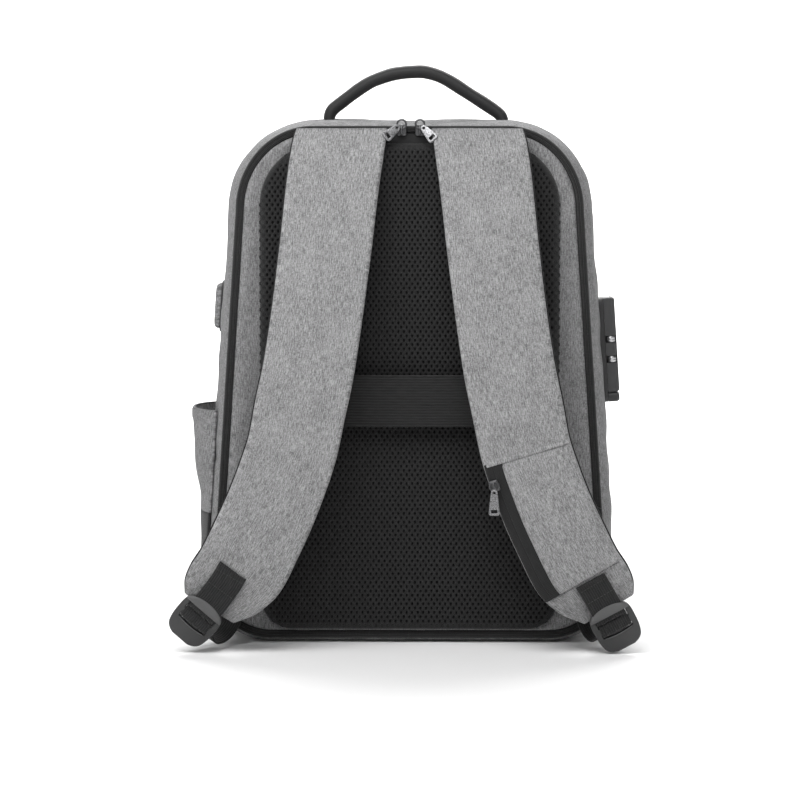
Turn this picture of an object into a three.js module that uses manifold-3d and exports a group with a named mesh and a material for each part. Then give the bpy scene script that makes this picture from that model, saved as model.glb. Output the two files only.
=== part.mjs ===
// A grey laptop backpack, standing on its base with its harness towards -Y.
// Millimetres, +Z up, origin at the middle of the flat base.
import * as THREE from 'three';
import { mergeVertices } from 'three/addons/utils/BufferGeometryUtils.js';
import Module from 'manifold-3d';

const wasm = await Module();
wasm.setup();

// Driving dimensions of the bag's body
const seamHeight = 429.5;
const bottomHalfWidth = 164;
const topHalfWidth = 143.5;
const bottomCornerRadius = 48;
const topCornerWidth = 63.5;
const topCornerHeight = 69.5;
const gussetDepth = 118;
const gussetBulge = 9;
const crownRise = 5;
const hemLift = 4;
const gussetWall = 2.5;
const panelWall = 2.6;
const frontCrown = 15;
const frontWall = 5;

// Gaps between pieces that touch on the real bag
const clearance = 0.3;
const clothGap = 0.5;

// Back panel, its zip band and its padding
const zipWidth = 6.5;
const zipThickness = 3.4;
const padSideMargin = 20;
const padHalfWidth = topHalfWidth - padSideMargin;
const padBottom = 12;
const padTopDrop = 14.5;
const padTop = seamHeight - padTopDrop;
const padThickness = 7;
const padBottomRadius = 26;
const padTopRadius = 50;
const yokeSideMargin = 47.5;
const yokeHalfWidth = topHalfWidth - yokeSideMargin;
const yokeHeight = 5;
const yokeDrop = 2.5;
const yokeThickness = 1.2;

// Shoulder straps
const strapTopDrop = 3.5;
const strapTop = seamHeight - strapTopDrop;
const strapEnd = 34;
const strapTopOut = 55.5;
const strapSpread = 102;
const strapStand = 58;
const strapWidth = 75;
const strapThickness = 9;
const backingThickness = 1.8;

// Pocket on the right strap
const strapPocketThickness = 3.4;
const strapPocketZipThickness = 1.6;

// Webbing and ladder buckles
const webbingWidth = 26;
const webbingThickness = 1.5;
const buckleWidth = 37;
const buckleThickness = 4.4;
const buckleTopBar = 5;
const buckleUpperSlot = 9.5;
const buckleCentreBar = 6;
const buckleLowerSlot = 7.5;
const buckleLip = 10.5;
const buckleSlotMargin = 1.2;
const buckleDrop = 30;
const buckleTurnDegrees = { left: 8, right: 5 };
const tabOffset = 6;
const wingHeight = 80;
const wingBottom = 34;
const wingReach = 26;
const wingThickness = 2.4;
const wingMargin = 1.5;

// Carry handle and luggage band
const handleMiddle = 5;
const handleSideMargin = 7;
const handleHalfSpan = topHalfWidth - topCornerWidth - handleSideMargin;
const handleRise = 40;
const handleWidth = 13;
const handleThickness = 11;
const handleSetback = -5;
const bandSideMargin = 6.5;
const bandHalfLength = padHalfWidth - bandSideMargin;
const bandHeight = 43;
const bandMiddleHeight = 204;
const bandThickness = 1.8;
const bandStand = 11;

// Bottle pocket on the left side
const pocketTop = 193;
const pocketSplit = 107;
const pocketBottom = 26;
const pocketHalfDepth = 47;
const pocketReach = 18;
const pocketWall = 2;

// Cable port on the left side
const portHeight = 278;
const portLength = 38;
const portWidth = 24;
const portFrameThickness = 1.6;
const portCoverThickness = 5;
const portFrameMargin = 2.5;

// Combination lock on the right side
const lockHeight = 241;
const lockLength = 88;
const lockBaseWidth = 28;
const lockBaseThickness = 4;
const lockCoverWidth = 25;
const lockCoverThickness = 9.7;
const lockCapLength = 8;
const lockChamfer = 2.2;
const dialRadius = 4.2;
const dialThickness = 5;
const dialProud = 0.5;
const dialHeights = { upper: 9, lower: -8 };
const spindleRadius = 1.2;
const dialGap = 0.35;
const zipNotch = { width: 4.5, depth: 3.4, length: 11, spacing: 10 };

// Zip sliders and their pull tabs
const sliderWidth = 8;
const sliderLength = 9.5;
const sliderThickness = 3;
const sliderPost = { width: 2.2, length: 3.6, height: 4.4 };
const pullerWidth = 8;
const zipPullerLength = 17;
const pocketPullerLength = 24;
const pullerThickness = 1.5;
const pullerEye = 2.9;
const pullerSlot = { width: 3, length: 4.5 };
const topSliderPlaces = { left: -6.5, right: 8.5 };
const topPullerSplay = { left: 46, right: -38 };
const topPullerTip = 20;

const backY = -gussetDepth / 2;
const frontY = gussetDepth / 2;
const panelFace = backY - panelWall + 0.2;
const padBack = panelFace - clearance;
const padFace = padBack - padThickness;
const zipBack = backY - clearance;
const zipFace = zipBack - zipThickness;
const wingBack = zipFace - clearance;

const melange = { color: 0x8f8f91, roughness: 0.95, metalness: 0 };
const darkCloth = { color: 0x1d1d1e, roughness: 0.9, metalness: 0 };
const spacerMesh = { color: 0x2a2a2b, roughness: 0.95, metalness: 0 };
const webbingBlack = { color: 0x252526, roughness: 0.75, metalness: 0 };
const hardPlastic = { color: 0x19191a, roughness: 0.45, metalness: 0 };
const lockPlastic = { color: 0x4a4a4c, roughness: 0.4, metalness: 0.1 };
const gunmetal = { color: 0x5b5b5e, roughness: 0.35, metalness: 0.9 };
const brightMetal = { color: 0xb8b8ba, roughness: 0.3, metalness: 1 };

const vec = (x, y, z) => new THREE.Vector3(x, y, z);
const lerp = THREE.MathUtils.lerp;
const radians = THREE.MathUtils.degToRad;

// Makes one closed geometry from vertices and triangles, with its faces pointing out
function closedGeometry(vertices, triangles) {
  let volume = 0;
  for (const [a, b, c] of triangles) {
    volume += vertices[a].dot(vec(0, 0, 0).crossVectors(vertices[b], vertices[c]));
  }
  const facing = volume < 0 ? triangles.map(([a, b, c]) => [a, c, b]) : triangles;
  const geometry = new THREE.BufferGeometry();
  geometry.setAttribute('position', new THREE.Float32BufferAttribute(vertices.flatMap((v) => v.toArray()), 3));
  geometry.setIndex(facing.flat());
  geometry.computeVertexNormals();
  return geometry;
}

// Joins two rings of the same count with triangles
function joinRings(triangles, from, to, count) {
  for (let i = 0; i < count; i++) {
    const j = (i + 1) % count;
    triangles.push([from + i, from + j, to + j], [from + i, to + j, to + i]);
  }
}

// A solid through a stack of loops, closed at both ends by a fan round a middle point
function loftSolid(loops) {
  const count = loops[0].length;
  const vertices = loops.flat();
  const triangles = [];
  for (let r = 0; r + 1 < loops.length; r++) joinRings(triangles, r * count, (r + 1) * count, count);
  const capEnd = (start, flip) => {
    const middle = vec(0, 0, 0);
    for (let i = 0; i < count; i++) middle.addScaledVector(vertices[start + i], 1 / count);
    const hub = vertices.push(middle) - 1;
    for (let i = 0; i < count; i++) {
      const pair = [start + i, start + ((i + 1) % count)];
      triangles.push(flip ? [hub, pair[1], pair[0]] : [hub, ...pair]);
    }
  };
  capEnd(0, true);
  capEnd((loops.length - 1) * count, false);
  return closedGeometry(vertices, triangles);
}

// A solid whose stack of loops closes on itself, so that it goes round like a hoop
function hoopSolid(loops) {
  const count = loops[0].length;
  const triangles = [];
  loops.forEach((_, r) => joinRings(triangles, r * count, ((r + 1) % loops.length) * count, count));
  return closedGeometry(loops.flat(), triangles);
}

// A thick sheet between two grids of points, each a list of rows
function sheetSolid(front, back) {
  const rows = front.length;
  const columns = front[0].length;
  const vertices = [...front.flat(), ...back.flat()];
  const offset = rows * columns;
  const triangles = [];
  const quad = (a, b, c, d) => triangles.push([a, b, c], [a, c, d]);
  for (let r = 0; r + 1 < rows; r++) {
    for (let c = 0; c + 1 < columns; c++) {
      const a = r * columns + c;
      quad(a, a + 1, a + columns + 1, a + columns);
      quad(offset + a, offset + a + columns, offset + a + columns + 1, offset + a + 1);
    }
  }
  const edge = (a, b) => quad(b, a, offset + a, offset + b);
  for (let c = 0; c + 1 < columns; c++) {
    edge(c, c + 1);
    edge((rows - 1) * columns + c + 1, (rows - 1) * columns + c);
  }
  for (let r = 0; r + 1 < rows; r++) {
    edge((r + 1) * columns, r * columns);
    edge((r + 1) * columns - 1, (r + 2) * columns - 1);
  }
  return closedGeometry(vertices, triangles);
}

// Reads a column of a table at any place between its rows, straight or on a smooth curve
function between(rows, key, column, at, smooth = true) {
  const last = rows.length - 1;
  let i = 0;
  while (i < last - 1 && rows[i + 1][key] < at) i++;
  const span = rows[i + 1][key] - rows[i][key];
  const t = THREE.MathUtils.clamp((at - rows[i][key]) / span, 0, 1);
  const [a, b] = [rows[i][column], rows[i + 1][column]];
  if (!smooth) return lerp(a, b, t);
  const slope = (n) => {
    const [lo, hi] = [rows[Math.max(n - 1, 0)], rows[Math.min(n + 1, last)]];
    return (hi[column] - lo[column]) / (hi[key] - lo[key]);
  };
  const [m0, m1] = [slope(i) * span, slope(i + 1) * span];
  const [t2, t3] = [t * t, t * t * t];
  return (2 * t3 - 3 * t2 + 1) * a + (t3 - 2 * t2 + t) * m0 + (3 * t2 - 2 * t3) * b + (t3 - t2) * m1;
}

const evenShares = (steps) => Array.from({ length: steps + 1 }, (_, i) => i / steps);

// Right half of the back panel's outline, from the middle of the base to the middle of the top
function halfOutline() {
  const points = [];
  const baseEnd = bottomHalfWidth - bottomCornerRadius;
  const cornerStart = seamHeight - topCornerHeight;
  const topEnd = topHalfWidth - topCornerWidth;
  for (const s of evenShares(3).slice(0, -1)) points.push([baseEnd * s, 0]);
  for (const s of evenShares(6).slice(0, -1)) {
    const turn = (s - 1) * Math.PI / 2;
    points.push([baseEnd + bottomCornerRadius * Math.cos(turn), bottomCornerRadius * (1 + Math.sin(turn))]);
  }
  for (const s of evenShares(5).slice(0, -1)) {
    points.push([lerp(bottomHalfWidth, topHalfWidth, s), lerp(bottomCornerRadius, cornerStart, s)]);
  }
  for (const s of evenShares(8).slice(0, -1)) {
    const turn = s * Math.PI / 2;
    points.push([topEnd + topCornerWidth * Math.cos(turn), cornerStart + topCornerHeight * Math.sin(turn)]);
  }
  for (const s of evenShares(3)) points.push([topEnd * (1 - s), seamHeight]);
  return points;
}

// Adds the mirrored left half and works out each point's outward direction
function fullOutline(half) {
  const left = half.slice(1, -1).reverse().map(([x, z]) => [-x, z]);
  const ring = [...half, ...left].map(([x, z]) => new THREE.Vector2(x, z));
  return ring.map((point, i) => {
    const ahead = ring[(i + 1) % ring.length];
    const behind = ring[(i + ring.length - 1) % ring.length];
    const normal = new THREE.Vector2(ahead.y - behind.y, behind.x - ahead.x).normalize();
    return { point, normal };
  });
}

const bagOutline = fullOutline(halfOutline());

// The outline at one depth, moved out by one distance at the sides, top and base
function outlineAt(y, { side = 0, top = side, base = side }) {
  return bagOutline.map(({ point, normal }) => {
    const rise = normal.y > 0 ? top : base;
    return vec(point.x + normal.x * side, y, point.y + normal.y * rise);
  });
}

// How the gusset swells and settles through its depth, from the back seam to the front seam
const gussetProfile = [
  { depth: 0.0, bulge: 0.0, lift: 1.0 },
  { depth: 0.06, bulge: 0.42, lift: 0.0 },
  { depth: 0.12, bulge: 0.66, lift: 0.0 },
  { depth: 0.3, bulge: 0.95, lift: 0.0 },
  { depth: 0.5, bulge: 1.0, lift: 0.0 },
  { depth: 0.7, bulge: 0.94, lift: 0.0 },
  { depth: 0.86, bulge: 0.68, lift: 0.0 },
  { depth: 0.95, bulge: 0.2, lift: 0.4 },
  { depth: 1.0, bulge: -0.6, lift: 1.6 },
];

function gussetLoop(depth, inward) {
  const bulge = between(gussetProfile, 'depth', 'bulge', depth, false);
  const lift = between(gussetProfile, 'depth', 'lift', depth, false);
  return outlineAt(lerp(backY, frontY, depth), {
    side: bulge * gussetBulge - inward,
    top: bulge * crownRise - inward,
    base: -lift * hemLift - inward,
  });
}

// Distance of the gusset's outer face from the middle plane, at a depth and a height on its side
function gussetHalfWidth(y, z) {
  const loop = gussetLoop((y - backY) / gussetDepth, 0).slice(0, bagOutline.length / 2 + 1);
  const i = Math.max(loop.findIndex((p, k) => k > 4 && p.z >= z), 1);
  const [a, b] = [loop[i - 1], loop[i]];
  return lerp(a.x, b.x, THREE.MathUtils.clamp((z - a.z) / (b.z - a.z), 0, 1));
}

function bodyGusset() {
  const outer = gussetProfile.map(({ depth }) => gussetLoop(depth, 0));
  const inner = gussetProfile.map(({ depth }) => gussetLoop(depth, gussetWall)).reverse();
  return hoopSolid([...outer, ...inner]);
}

const shrink = (loop, share, centre) => loop.map((p) => p.clone().lerp(vec(centre.x, p.y, centre.z), share));

// Front panel: a crowned, padded shell that closes the front of the gusset
const frontRows = [
  { inward: 0.0, rise: 0.2 },
  { inward: 0.05, rise: 0.45 },
  { inward: 0.16, rise: 0.7 },
  { inward: 0.38, rise: 0.9 },
  { inward: 0.7, rise: 0.99 },
];

function frontPanel() {
  const seam = gussetLoop(1, 0);
  const centre = vec(0, 0, seamHeight / 2);
  const start = frontY + clearance;
  const shell = (inset) => frontRows.map(({ inward, rise }) => {
    const loop = shrink(seam, inward, centre);
    const y = Math.max(start + rise * frontCrown - inset, start);
    return loop.map((p) => vec(p.x, y, p.z));
  });
  return loftSolid([...shell(0).reverse(), ...shell(frontWall)]);
}

// Back panel: the flat grey plate inside the zip band
function backPanel() {
  const inset = zipWidth + clearance;
  const edge = (y, extra) => outlineAt(y, { side: -inset - extra, base: -hemLift - inset - extra });
  const cornerEase = 0.8;
  return loftSolid([
    edge(panelFace + panelWall, 0),
    edge(panelFace + cornerEase, 0),
    edge(panelFace, cornerEase),
  ]);
}

// Zip band: the black closed zip and its tape, a hoop on the gusset's back edge
const zipSection = [
  { inset: 0.06, rise: 0.0 },
  { inset: 0.0, rise: 0.6 },
  { inset: 0.18, rise: 0.95 },
  { inset: 0.5, rise: 1.0 },
  { inset: 0.82, rise: 0.95 },
  { inset: 1.0, rise: 0.6 },
  { inset: 0.94, rise: 0.0 },
];

function mainZip() {
  return hoopSolid(zipSection.map(({ inset, rise }) => outlineAt(zipBack - rise * zipThickness, {
    side: -inset * zipWidth,
    base: -hemLift - inset * zipWidth,
  })));
}

// A rounded upright panel's loop, drawn in by a distance
function roundedLoop(y, { halfWidth, bottom, top, bottomRadius, topRadius, inset = 0 }) {
  const corners = [
    { x: halfWidth - bottomRadius, z: bottom + bottomRadius, radius: bottomRadius, start: -90 },
    { x: halfWidth - topRadius, z: top - topRadius, radius: topRadius, start: 0 },
    { x: topRadius - halfWidth, z: top - topRadius, radius: topRadius, start: 90 },
    { x: bottomRadius - halfWidth, z: bottom + bottomRadius, radius: bottomRadius, start: 180 },
  ];
  return corners.flatMap(({ x, z, radius, start }) => evenShares(6).map((s) => {
    const turn = radians(start + 90 * s);
    return vec(x + (radius - inset) * Math.cos(turn), y, z + (radius - inset) * Math.sin(turn));
  }));
}

// Mesh pad: the thick black spacer-mesh cushion against the wearer's back
const padRows = [
  { inset: 0, rise: 0.0 },
  { inset: 0, rise: 0.42 },
  { inset: 2.5, rise: 0.78 },
  { inset: 8, rise: 1.0 },
];

function meshPad() {
  const shape = {
    halfWidth: padHalfWidth, bottom: padBottom, top: padTop,
    bottomRadius: padBottomRadius, topRadius: padTopRadius,
  };
  return loftSolid(padRows.map(({ inset, rise }) => (
    roundedLoop(padBack - rise * padThickness, { ...shape, inset }))));
}

// Yoke strip: the black reinforcement under the strap tops, below the zip band
function yokeStrip() {
  const top = seamHeight - zipWidth - yokeDrop;
  return loftSolid([0, -yokeThickness].map((rise) => roundedLoop(padBack + rise, {
    halfWidth: yokeHalfWidth, bottom: top - yokeHeight, top, bottomRadius: 2, topRadius: 2,
  })));
}

// The straps' course: how far down, out from the middle and off the back each row lies, and the widths of
// its inner and outer halves
const strapRows = [
  { drop: 0.0, out: 0.0, stand: 0.095, inner: 1.0, outer: 1.0, thick: 0.38 },
  { drop: 0.044, out: 0.032, stand: 0.2, inner: 1.01, outer: 1.01, thick: 0.75 },
  { drop: 0.111, out: 0.069, stand: 0.3, inner: 1.01, outer: 1.01, thick: 1.0 },
  { drop: 0.245, out: 0.125, stand: 0.53, inner: 1.0, outer: 1.0, thick: 1.0 },
  { drop: 0.374, out: 0.186, stand: 0.72, inner: 0.99, outer: 0.99, thick: 1.0 },
  { drop: 0.493, out: 0.254, stand: 0.85, inner: 0.99, outer: 0.99, thick: 1.0 },
  { drop: 0.574, out: 0.319, stand: 0.915, inner: 0.99, outer: 0.99, thick: 1.0 },
  { drop: 0.653, out: 0.38, stand: 0.955, inner: 0.98, outer: 0.98, thick: 1.0 },
  { drop: 0.711, out: 0.451, stand: 0.98, inner: 0.98, outer: 0.98, thick: 1.0 },
  { drop: 0.78, out: 0.553, stand: 1.0, inner: 0.98, outer: 0.98, thick: 1.0 },
  { drop: 0.845, out: 0.667, stand: 1.0, inner: 0.98, outer: 0.98, thick: 1.0 },
  { drop: 0.909, out: 0.789, stand: 0.985, inner: 0.97, outer: 0.98, thick: 0.95 },
  { drop: 0.948, out: 0.875, stand: 0.955, inner: 0.84, outer: 1.0, thick: 0.82 },
  { drop: 0.977, out: 0.946, stand: 0.92, inner: 0.66, outer: 0.94, thick: 0.5 },
  { drop: 1.0, out: 1.0, stand: 0.895, inner: 0.46, outer: 0.78, thick: 0.28 },
];
const strapSteps = 30;
// The top edge is cut level, and the strap turns square to its course over this share of its drop
const strapLevelled = 0.1;

function strapCentre(side, share) {
  const read = (column) => between(strapRows, 'drop', column, share);
  return vec(
    side * (strapTopOut + strapSpread * read('out')),
    backY - strapStand * read('stand'),
    lerp(strapTop, strapEnd, share),
  );
}

// Place, directions and half widths of a strap at a share of its drop; the outward side faces -Y
function strapStation(side, share) {
  const step = 0.004;
  const [before, after] = [Math.max(share - step, 0), Math.min(share + step, 1)];
  const along = strapCentre(side, after).sub(strapCentre(side, before)).normalize();
  const across = vec(0, 0, 0).crossVectors(along, vec(0, -side, 0)).multiplyScalar(-1).normalize();
  const level = Math.max(1 - share / strapLevelled, 0);
  across.lerp(vec(side, 0, 0), level).normalize();
  const outward = vec(0, 0, 0).crossVectors(across, along).multiplyScalar(-side).normalize();
  return {
    centre: strapCentre(side, share),
    along, across, outward,
    innerHalf: strapWidth / 2 * between(strapRows, 'drop', 'inner', share),
    outerHalf: strapWidth / 2 * between(strapRows, 'drop', 'outer', share),
    thick: between(strapRows, 'drop', 'thick', share),
  };
}

function strapPoint(station, acrossShare, lift) {
  const half = acrossShare < 0 ? station.innerHalf : station.outerHalf;
  return station.centre.clone()
    .addScaledVector(station.across, half * acrossShare)
    .addScaledVector(station.outward, lift);
}

// Lift of the strap's grey pad, and of its outer face, above the rear face of the backing
const padLift = backingThickness + clearance;
const strapFaceLift = (station) => padLift + strapThickness * station.thick;

const strapSection = [
  { across: -0.93, rise: 0.0 }, { across: -1.0, rise: 0.4 }, { across: -0.975, rise: 0.8 },
  { across: -0.9, rise: 1.0 }, { across: 0.0, rise: 1.0 }, { across: 0.9, rise: 1.0 },
  { across: 0.975, rise: 0.8 }, { across: 1.0, rise: 0.4 }, { across: 0.93, rise: 0.0 },
  { across: 0.0, rise: 0.0 },
];

function shoulderStrap(side) {
  return loftSolid(evenShares(strapSteps).map((share) => {
    const station = strapStation(side, share);
    return strapSection.map(({ across, rise }) => (
      strapPoint(station, across, padLift + rise * strapThickness * station.thick)));
  }));
}

// A layer that hugs a strap between two shares of its drop and two shares of its width
function strapLayer(side, { from, to, inner, outer, low, high, steps }) {
  const stations = evenShares(steps).map((s) => strapStation(side, lerp(from, to, s)));
  const grid = (lift) => stations.map((station) => evenShares(4).map((c) => (
    strapPoint(station, lerp(inner, outer, c), lift(station)))));
  return sheetSolid(grid(high), grid(low));
}

function strapBacking(side) {
  return strapLayer(side, {
    from: 0, to: 1, inner: -0.96, outer: 0.96, steps: strapSteps,
    low: () => 0, high: () => backingThickness,
  });
}

// Zipped pocket on the right strap: a raised grey panel beside a black zip band
const strapPocketShares = { from: 0.667, to: 0.929 };
const strapPocketPanel = { inner: -0.6, outer: 0.9 };
const strapPocketZipBand = { inner: -0.97, outer: -0.63 };

function strapPocket() {
  return strapLayer(1, {
    ...strapPocketShares, ...strapPocketPanel, steps: 14,
    low: (station) => strapFaceLift(station) + clothGap,
    high: (station) => strapFaceLift(station) + clothGap + strapPocketThickness,
  });
}

function strapPocketZip() {
  return strapLayer(1, {
    ...strapPocketShares, ...strapPocketZipBand, steps: 14,
    low: (station) => strapFaceLift(station) + clothGap,
    high: (station) => strapFaceLift(station) + clothGap + strapPocketZipThickness,
  });
}

// A flat ribbon along a list of stations, each with its centre, across direction and face direction
function ribbon(stations, width, thickness) {
  const grid = (lift) => stations.map(({ centre, across, face }) => [-0.5, 0.5].map((s) => (
    centre.clone().addScaledVector(across, s * width).addScaledVector(face, lift))));
  return sheetSolid(grid(thickness / 2), grid(-thickness / 2));
}

// Gives each point of a course the direction square to it and to the ribbon's width
function ribbonStations(points, acrossAt) {
  return points.map((centre, i) => {
    const ahead = points[Math.min(i + 1, points.length - 1)];
    const behind = points[Math.max(i - 1, 0)];
    const along = ahead.clone().sub(behind).normalize();
    const across = acrossAt(i).clone().addScaledVector(along, -acrossAt(i).dot(along)).normalize();
    return { centre, across, face: vec(0, 0, 0).crossVectors(along, across) };
  });
}

const buckleShare = 0.9625;

// Frame of a ladder buckle below its strap: u across, v up towards the strap, n outward
function buckleFrame(sideName) {
  const side = sideName === 'left' ? -1 : 1;
  const station = strapStation(side, buckleShare);
  const turn = -radians(buckleTurnDegrees[sideName]);
  const down = station.along.clone().applyAxisAngle(station.outward, turn);
  const across = station.across.clone().applyAxisAngle(station.outward, turn);
  const faceLift = strapFaceLift(station) + 2 * clothGap + webbingThickness;
  const origin = strapPoint(station, tabOffset / station.outerHalf, faceLift).addScaledVector(down, buckleDrop);
  const place = (v, n) => origin.clone().addScaledVector(down, -v).addScaledVector(station.outward, n);
  return { side, origin, down, across, outward: station.outward, place };
}

// Ladder buckle: one moulded plastic frame with three bars and two slots
const buckleTopEdge = buckleCentreBar / 2 + buckleUpperSlot + buckleTopBar;
const buckleBottomEdge = -buckleCentreBar / 2 - buckleLowerSlot - buckleLip;
const buckleOutlineRows = [
  { height: 0.0, half: 0.5 }, { height: 0.06, half: 0.72 }, { height: 0.16, half: 0.88 },
  { height: 0.34, half: 0.97 }, { height: 0.55, half: 1.0 }, { height: 0.8, half: 1.0 },
  { height: 0.93, half: 0.88 }, { height: 1.0, half: 0.55 },
];

function ladderBuckle() {
  const rightSide = buckleOutlineRows.map(({ height, half }) => (
    new THREE.Vector2(half * buckleWidth / 2, lerp(buckleBottomEdge, buckleTopEdge, height))));
  const leftSide = [...rightSide].reverse().map((p) => new THREE.Vector2(-p.x, p.y));
  const shape = new THREE.Shape([...rightSide, ...leftSide]);
  const slotHalf = webbingWidth / 2 + buckleSlotMargin;
  const slot = (low, high) => new THREE.Path([
    new THREE.Vector2(-slotHalf, low), new THREE.Vector2(-slotHalf, high),
    new THREE.Vector2(slotHalf, high), new THREE.Vector2(slotHalf, low),
  ]);
  shape.holes.push(
    slot(buckleCentreBar / 2, buckleCentreBar / 2 + buckleUpperSlot),
    slot(-buckleCentreBar / 2 - buckleLowerSlot, -buckleCentreBar / 2),
  );
  const bevel = 0.7;
  const geometry = new THREE.ExtrudeGeometry(shape, {
    depth: buckleThickness - 2 * bevel,
    bevelEnabled: true, bevelThickness: bevel, bevelSize: bevel, bevelOffset: -bevel, bevelSegments: 1,
  });
  return geometry.translate(0, 0, bevel - buckleThickness / 2);
}

// Webbing tab: sewn to the strap's face and folded round the buckle's top bar
const barReach = buckleThickness / 2 + clearance + webbingThickness / 2;
const tabSewnShares = { left: [0.9165, 0.93, 0.941], right: [0.936, 0.941, 0.946] };
const tabWrapRows = [
  { up: 1.5, out: 0.62 }, { up: 0.75, out: 1.0 }, { up: -0.65, out: 1.0 }, { up: -1.0, out: 0.62 },
  { up: -1.0, out: -0.62 }, { up: -0.65, out: -1.0 }, { up: 0.75, out: -1.0 }, { up: 1.5, out: -0.45 },
];

function webbingTab(sideName) {
  const frame = buckleFrame(sideName);
  const layer = (lift) => tabSewnShares[sideName].map((share) => {
    const station = strapStation(frame.side, share);
    return strapPoint(station, tabOffset / station.outerHalf, strapFaceLift(station) + clothGap + lift);
  });
  const inner = webbingThickness / 2;
  const outer = inner + webbingThickness + clearance;
  const barMiddle = buckleTopEdge - buckleTopBar / 2;
  const wrapReach = buckleTopBar / 2 + clearance + webbingThickness / 2;
  const wrap = tabWrapRows.map(({ up, out }) => frame.place(barMiddle + up * wrapReach, out * barReach));
  const points = [...layer(outer), ...wrap, ...layer(inner).reverse()];
  const stations = ribbonStations(points, () => frame.across);
  return ribbon(stations, webbingWidth, webbingThickness);
}

// Adjuster webbing: from the corner wing, through the lower slot and over the buckle's centre bar
const adjusterSag = [
  { forward: 0.72, drop: 0.93 },
  { forward: 0.52, drop: 1.0 },
  { forward: 0.3, drop: 0.86 },
  { forward: 0.12, drop: 0.55 },
];

function adjusterWebbing(sideName) {
  const frame = buckleFrame(sideName);
  const barEdge = buckleCentreBar / 2 + clearance + webbingThickness / 2;
  const tail = 9;
  const bend = 9;
  const throughBuckle = [
    frame.place(barEdge, -tail), frame.place(barEdge, -barReach), frame.place(barEdge, barReach * 0.6),
    frame.place(barEdge * 0.7, barReach), frame.place(-barEdge * 0.7, barReach),
    frame.place(-barEdge, barReach * 0.6), frame.place(-barEdge, -barReach),
    frame.place(-barEdge - bend * 0.3, -barReach - bend),
  ];
  const sewnY = wingBack - wingThickness - clearance - webbingThickness / 2;
  const sewnX = frame.side * (bottomHalfWidth - webbingWidth / 2 - wingMargin);
  const sewnTop = wingBottom + wingHeight * 0.5;
  const lowest = webbingThickness + 9;
  const start = throughBuckle[throughBuckle.length - 1];
  const sag = adjusterSag.map(({ forward, drop }) => vec(
    lerp(sewnX, start.x, forward),
    lerp(sewnY, start.y, forward),
    lerp(wingBottom, lowest, drop),
  ));
  const sewn = [vec(sewnX, sewnY, wingBottom + 4), vec(sewnX, sewnY, sewnTop)];
  const points = [...throughBuckle, ...sag, ...sewn];
  const level = vec(frame.side, 0, 0);
  const across = (i) => {
    const turned = THREE.MathUtils.clamp((i - throughBuckle.length + 1) / adjusterSag.length, 0, 1);
    return frame.across.clone().lerp(level, turned);
  };
  return ribbon(ribbonStations(points, across), webbingWidth, webbingThickness);
}

// Corner wing: the black tab over the zip band's lower corner that the adjuster webbing is sewn to
const wingRows = [
  { height: 0.0, reach: 0.9 }, { height: 0.2, reach: 1.0 }, { height: 0.45, reach: 0.85 },
  { height: 0.7, reach: 0.6 }, { height: 0.88, reach: 0.4 }, { height: 1.0, reach: 0.26 },
];

function cornerWing(side) {
  const grid = (y) => wingRows.map(({ height, reach }) => {
    const z = wingBottom + wingHeight * height;
    const edge = gussetHalfWidth(backY, z);
    return [vec(side * (edge - reach * wingReach), y, z), vec(side * edge, y, z)];
  });
  return sheetSolid(grid(wingBack - wingThickness), grid(wingBack));
}

// Carry handle: a rolled grip standing on the top gusset
const handleRows = [
  { along: -1.0, rise: 0.0 }, { along: -1.0, rise: 0.1 }, { along: -0.97, rise: 0.22 },
  { along: -0.88, rise: 0.36 }, { along: -0.57, rise: 0.75 }, { along: -0.32, rise: 0.93 },
  { along: -0.06, rise: 1.0 }, { along: 0.12, rise: 0.99 }, { along: 0.32, rise: 0.87 },
  { along: 0.66, rise: 0.5 }, { along: 0.88, rise: 0.25 }, { along: 0.97, rise: 0.12 },
  { along: 1.0, rise: 0.0 },
];

function carryHandle() {
  const footHeight = seamHeight + crownRise + clearance;
  const path = new THREE.CatmullRomCurve3(handleRows.map(({ along, rise }) => (
    vec(handleMiddle + handleHalfSpan * along, handleSetback, footHeight + handleRise * rise))), false, 'centripetal');
  const loops = evenShares(30).map((share) => {
    const atFoot = share === 0 || share === 1;
    const along = atFoot ? vec(0, 0, share === 0 ? 1 : -1) : path.getPoint(share + 0.001)
      .sub(path.getPoint(share - 0.001)).normalize();
    const across = vec(0, 1, 0);
    const up = vec(0, 0, 0).crossVectors(along, across);
    return evenShares(10).slice(0, -1).map((s) => {
      const turn = s * 2 * Math.PI;
      return path.getPoint(share).addScaledVector(across, handleWidth / 2 * Math.cos(turn))
        .addScaledVector(up, handleThickness / 2 * Math.sin(turn));
    });
  });
  return loftSolid(loops);
}

// Luggage band: sewn flat at both ends of the pad and standing off it between
const bandRows = [
  { along: 0.0, stand: 0.0 }, { along: 0.1, stand: 0.0 }, { along: 0.16, stand: 0.3 },
  { along: 0.23, stand: 0.8 }, { along: 0.32, stand: 1.0 }, { along: 0.5, stand: 1.03 },
  { along: 0.68, stand: 1.0 }, { along: 0.77, stand: 0.8 }, { along: 0.84, stand: 0.3 },
  { along: 0.9, stand: 0.0 }, { along: 1.0, stand: 0.0 },
];

function luggageBand() {
  const rear = padFace - clearance;
  const grid = (thickness) => bandRows.map(({ along, stand }) => [-0.5, 0.5].map((s) => vec(
    lerp(-bandHalfLength, bandHalfLength, along),
    rear - stand * bandStand - thickness,
    bandMiddleHeight + s * bandHeight,
  )));
  return sheetSolid(grid(bandThickness), grid(0));
}

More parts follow.
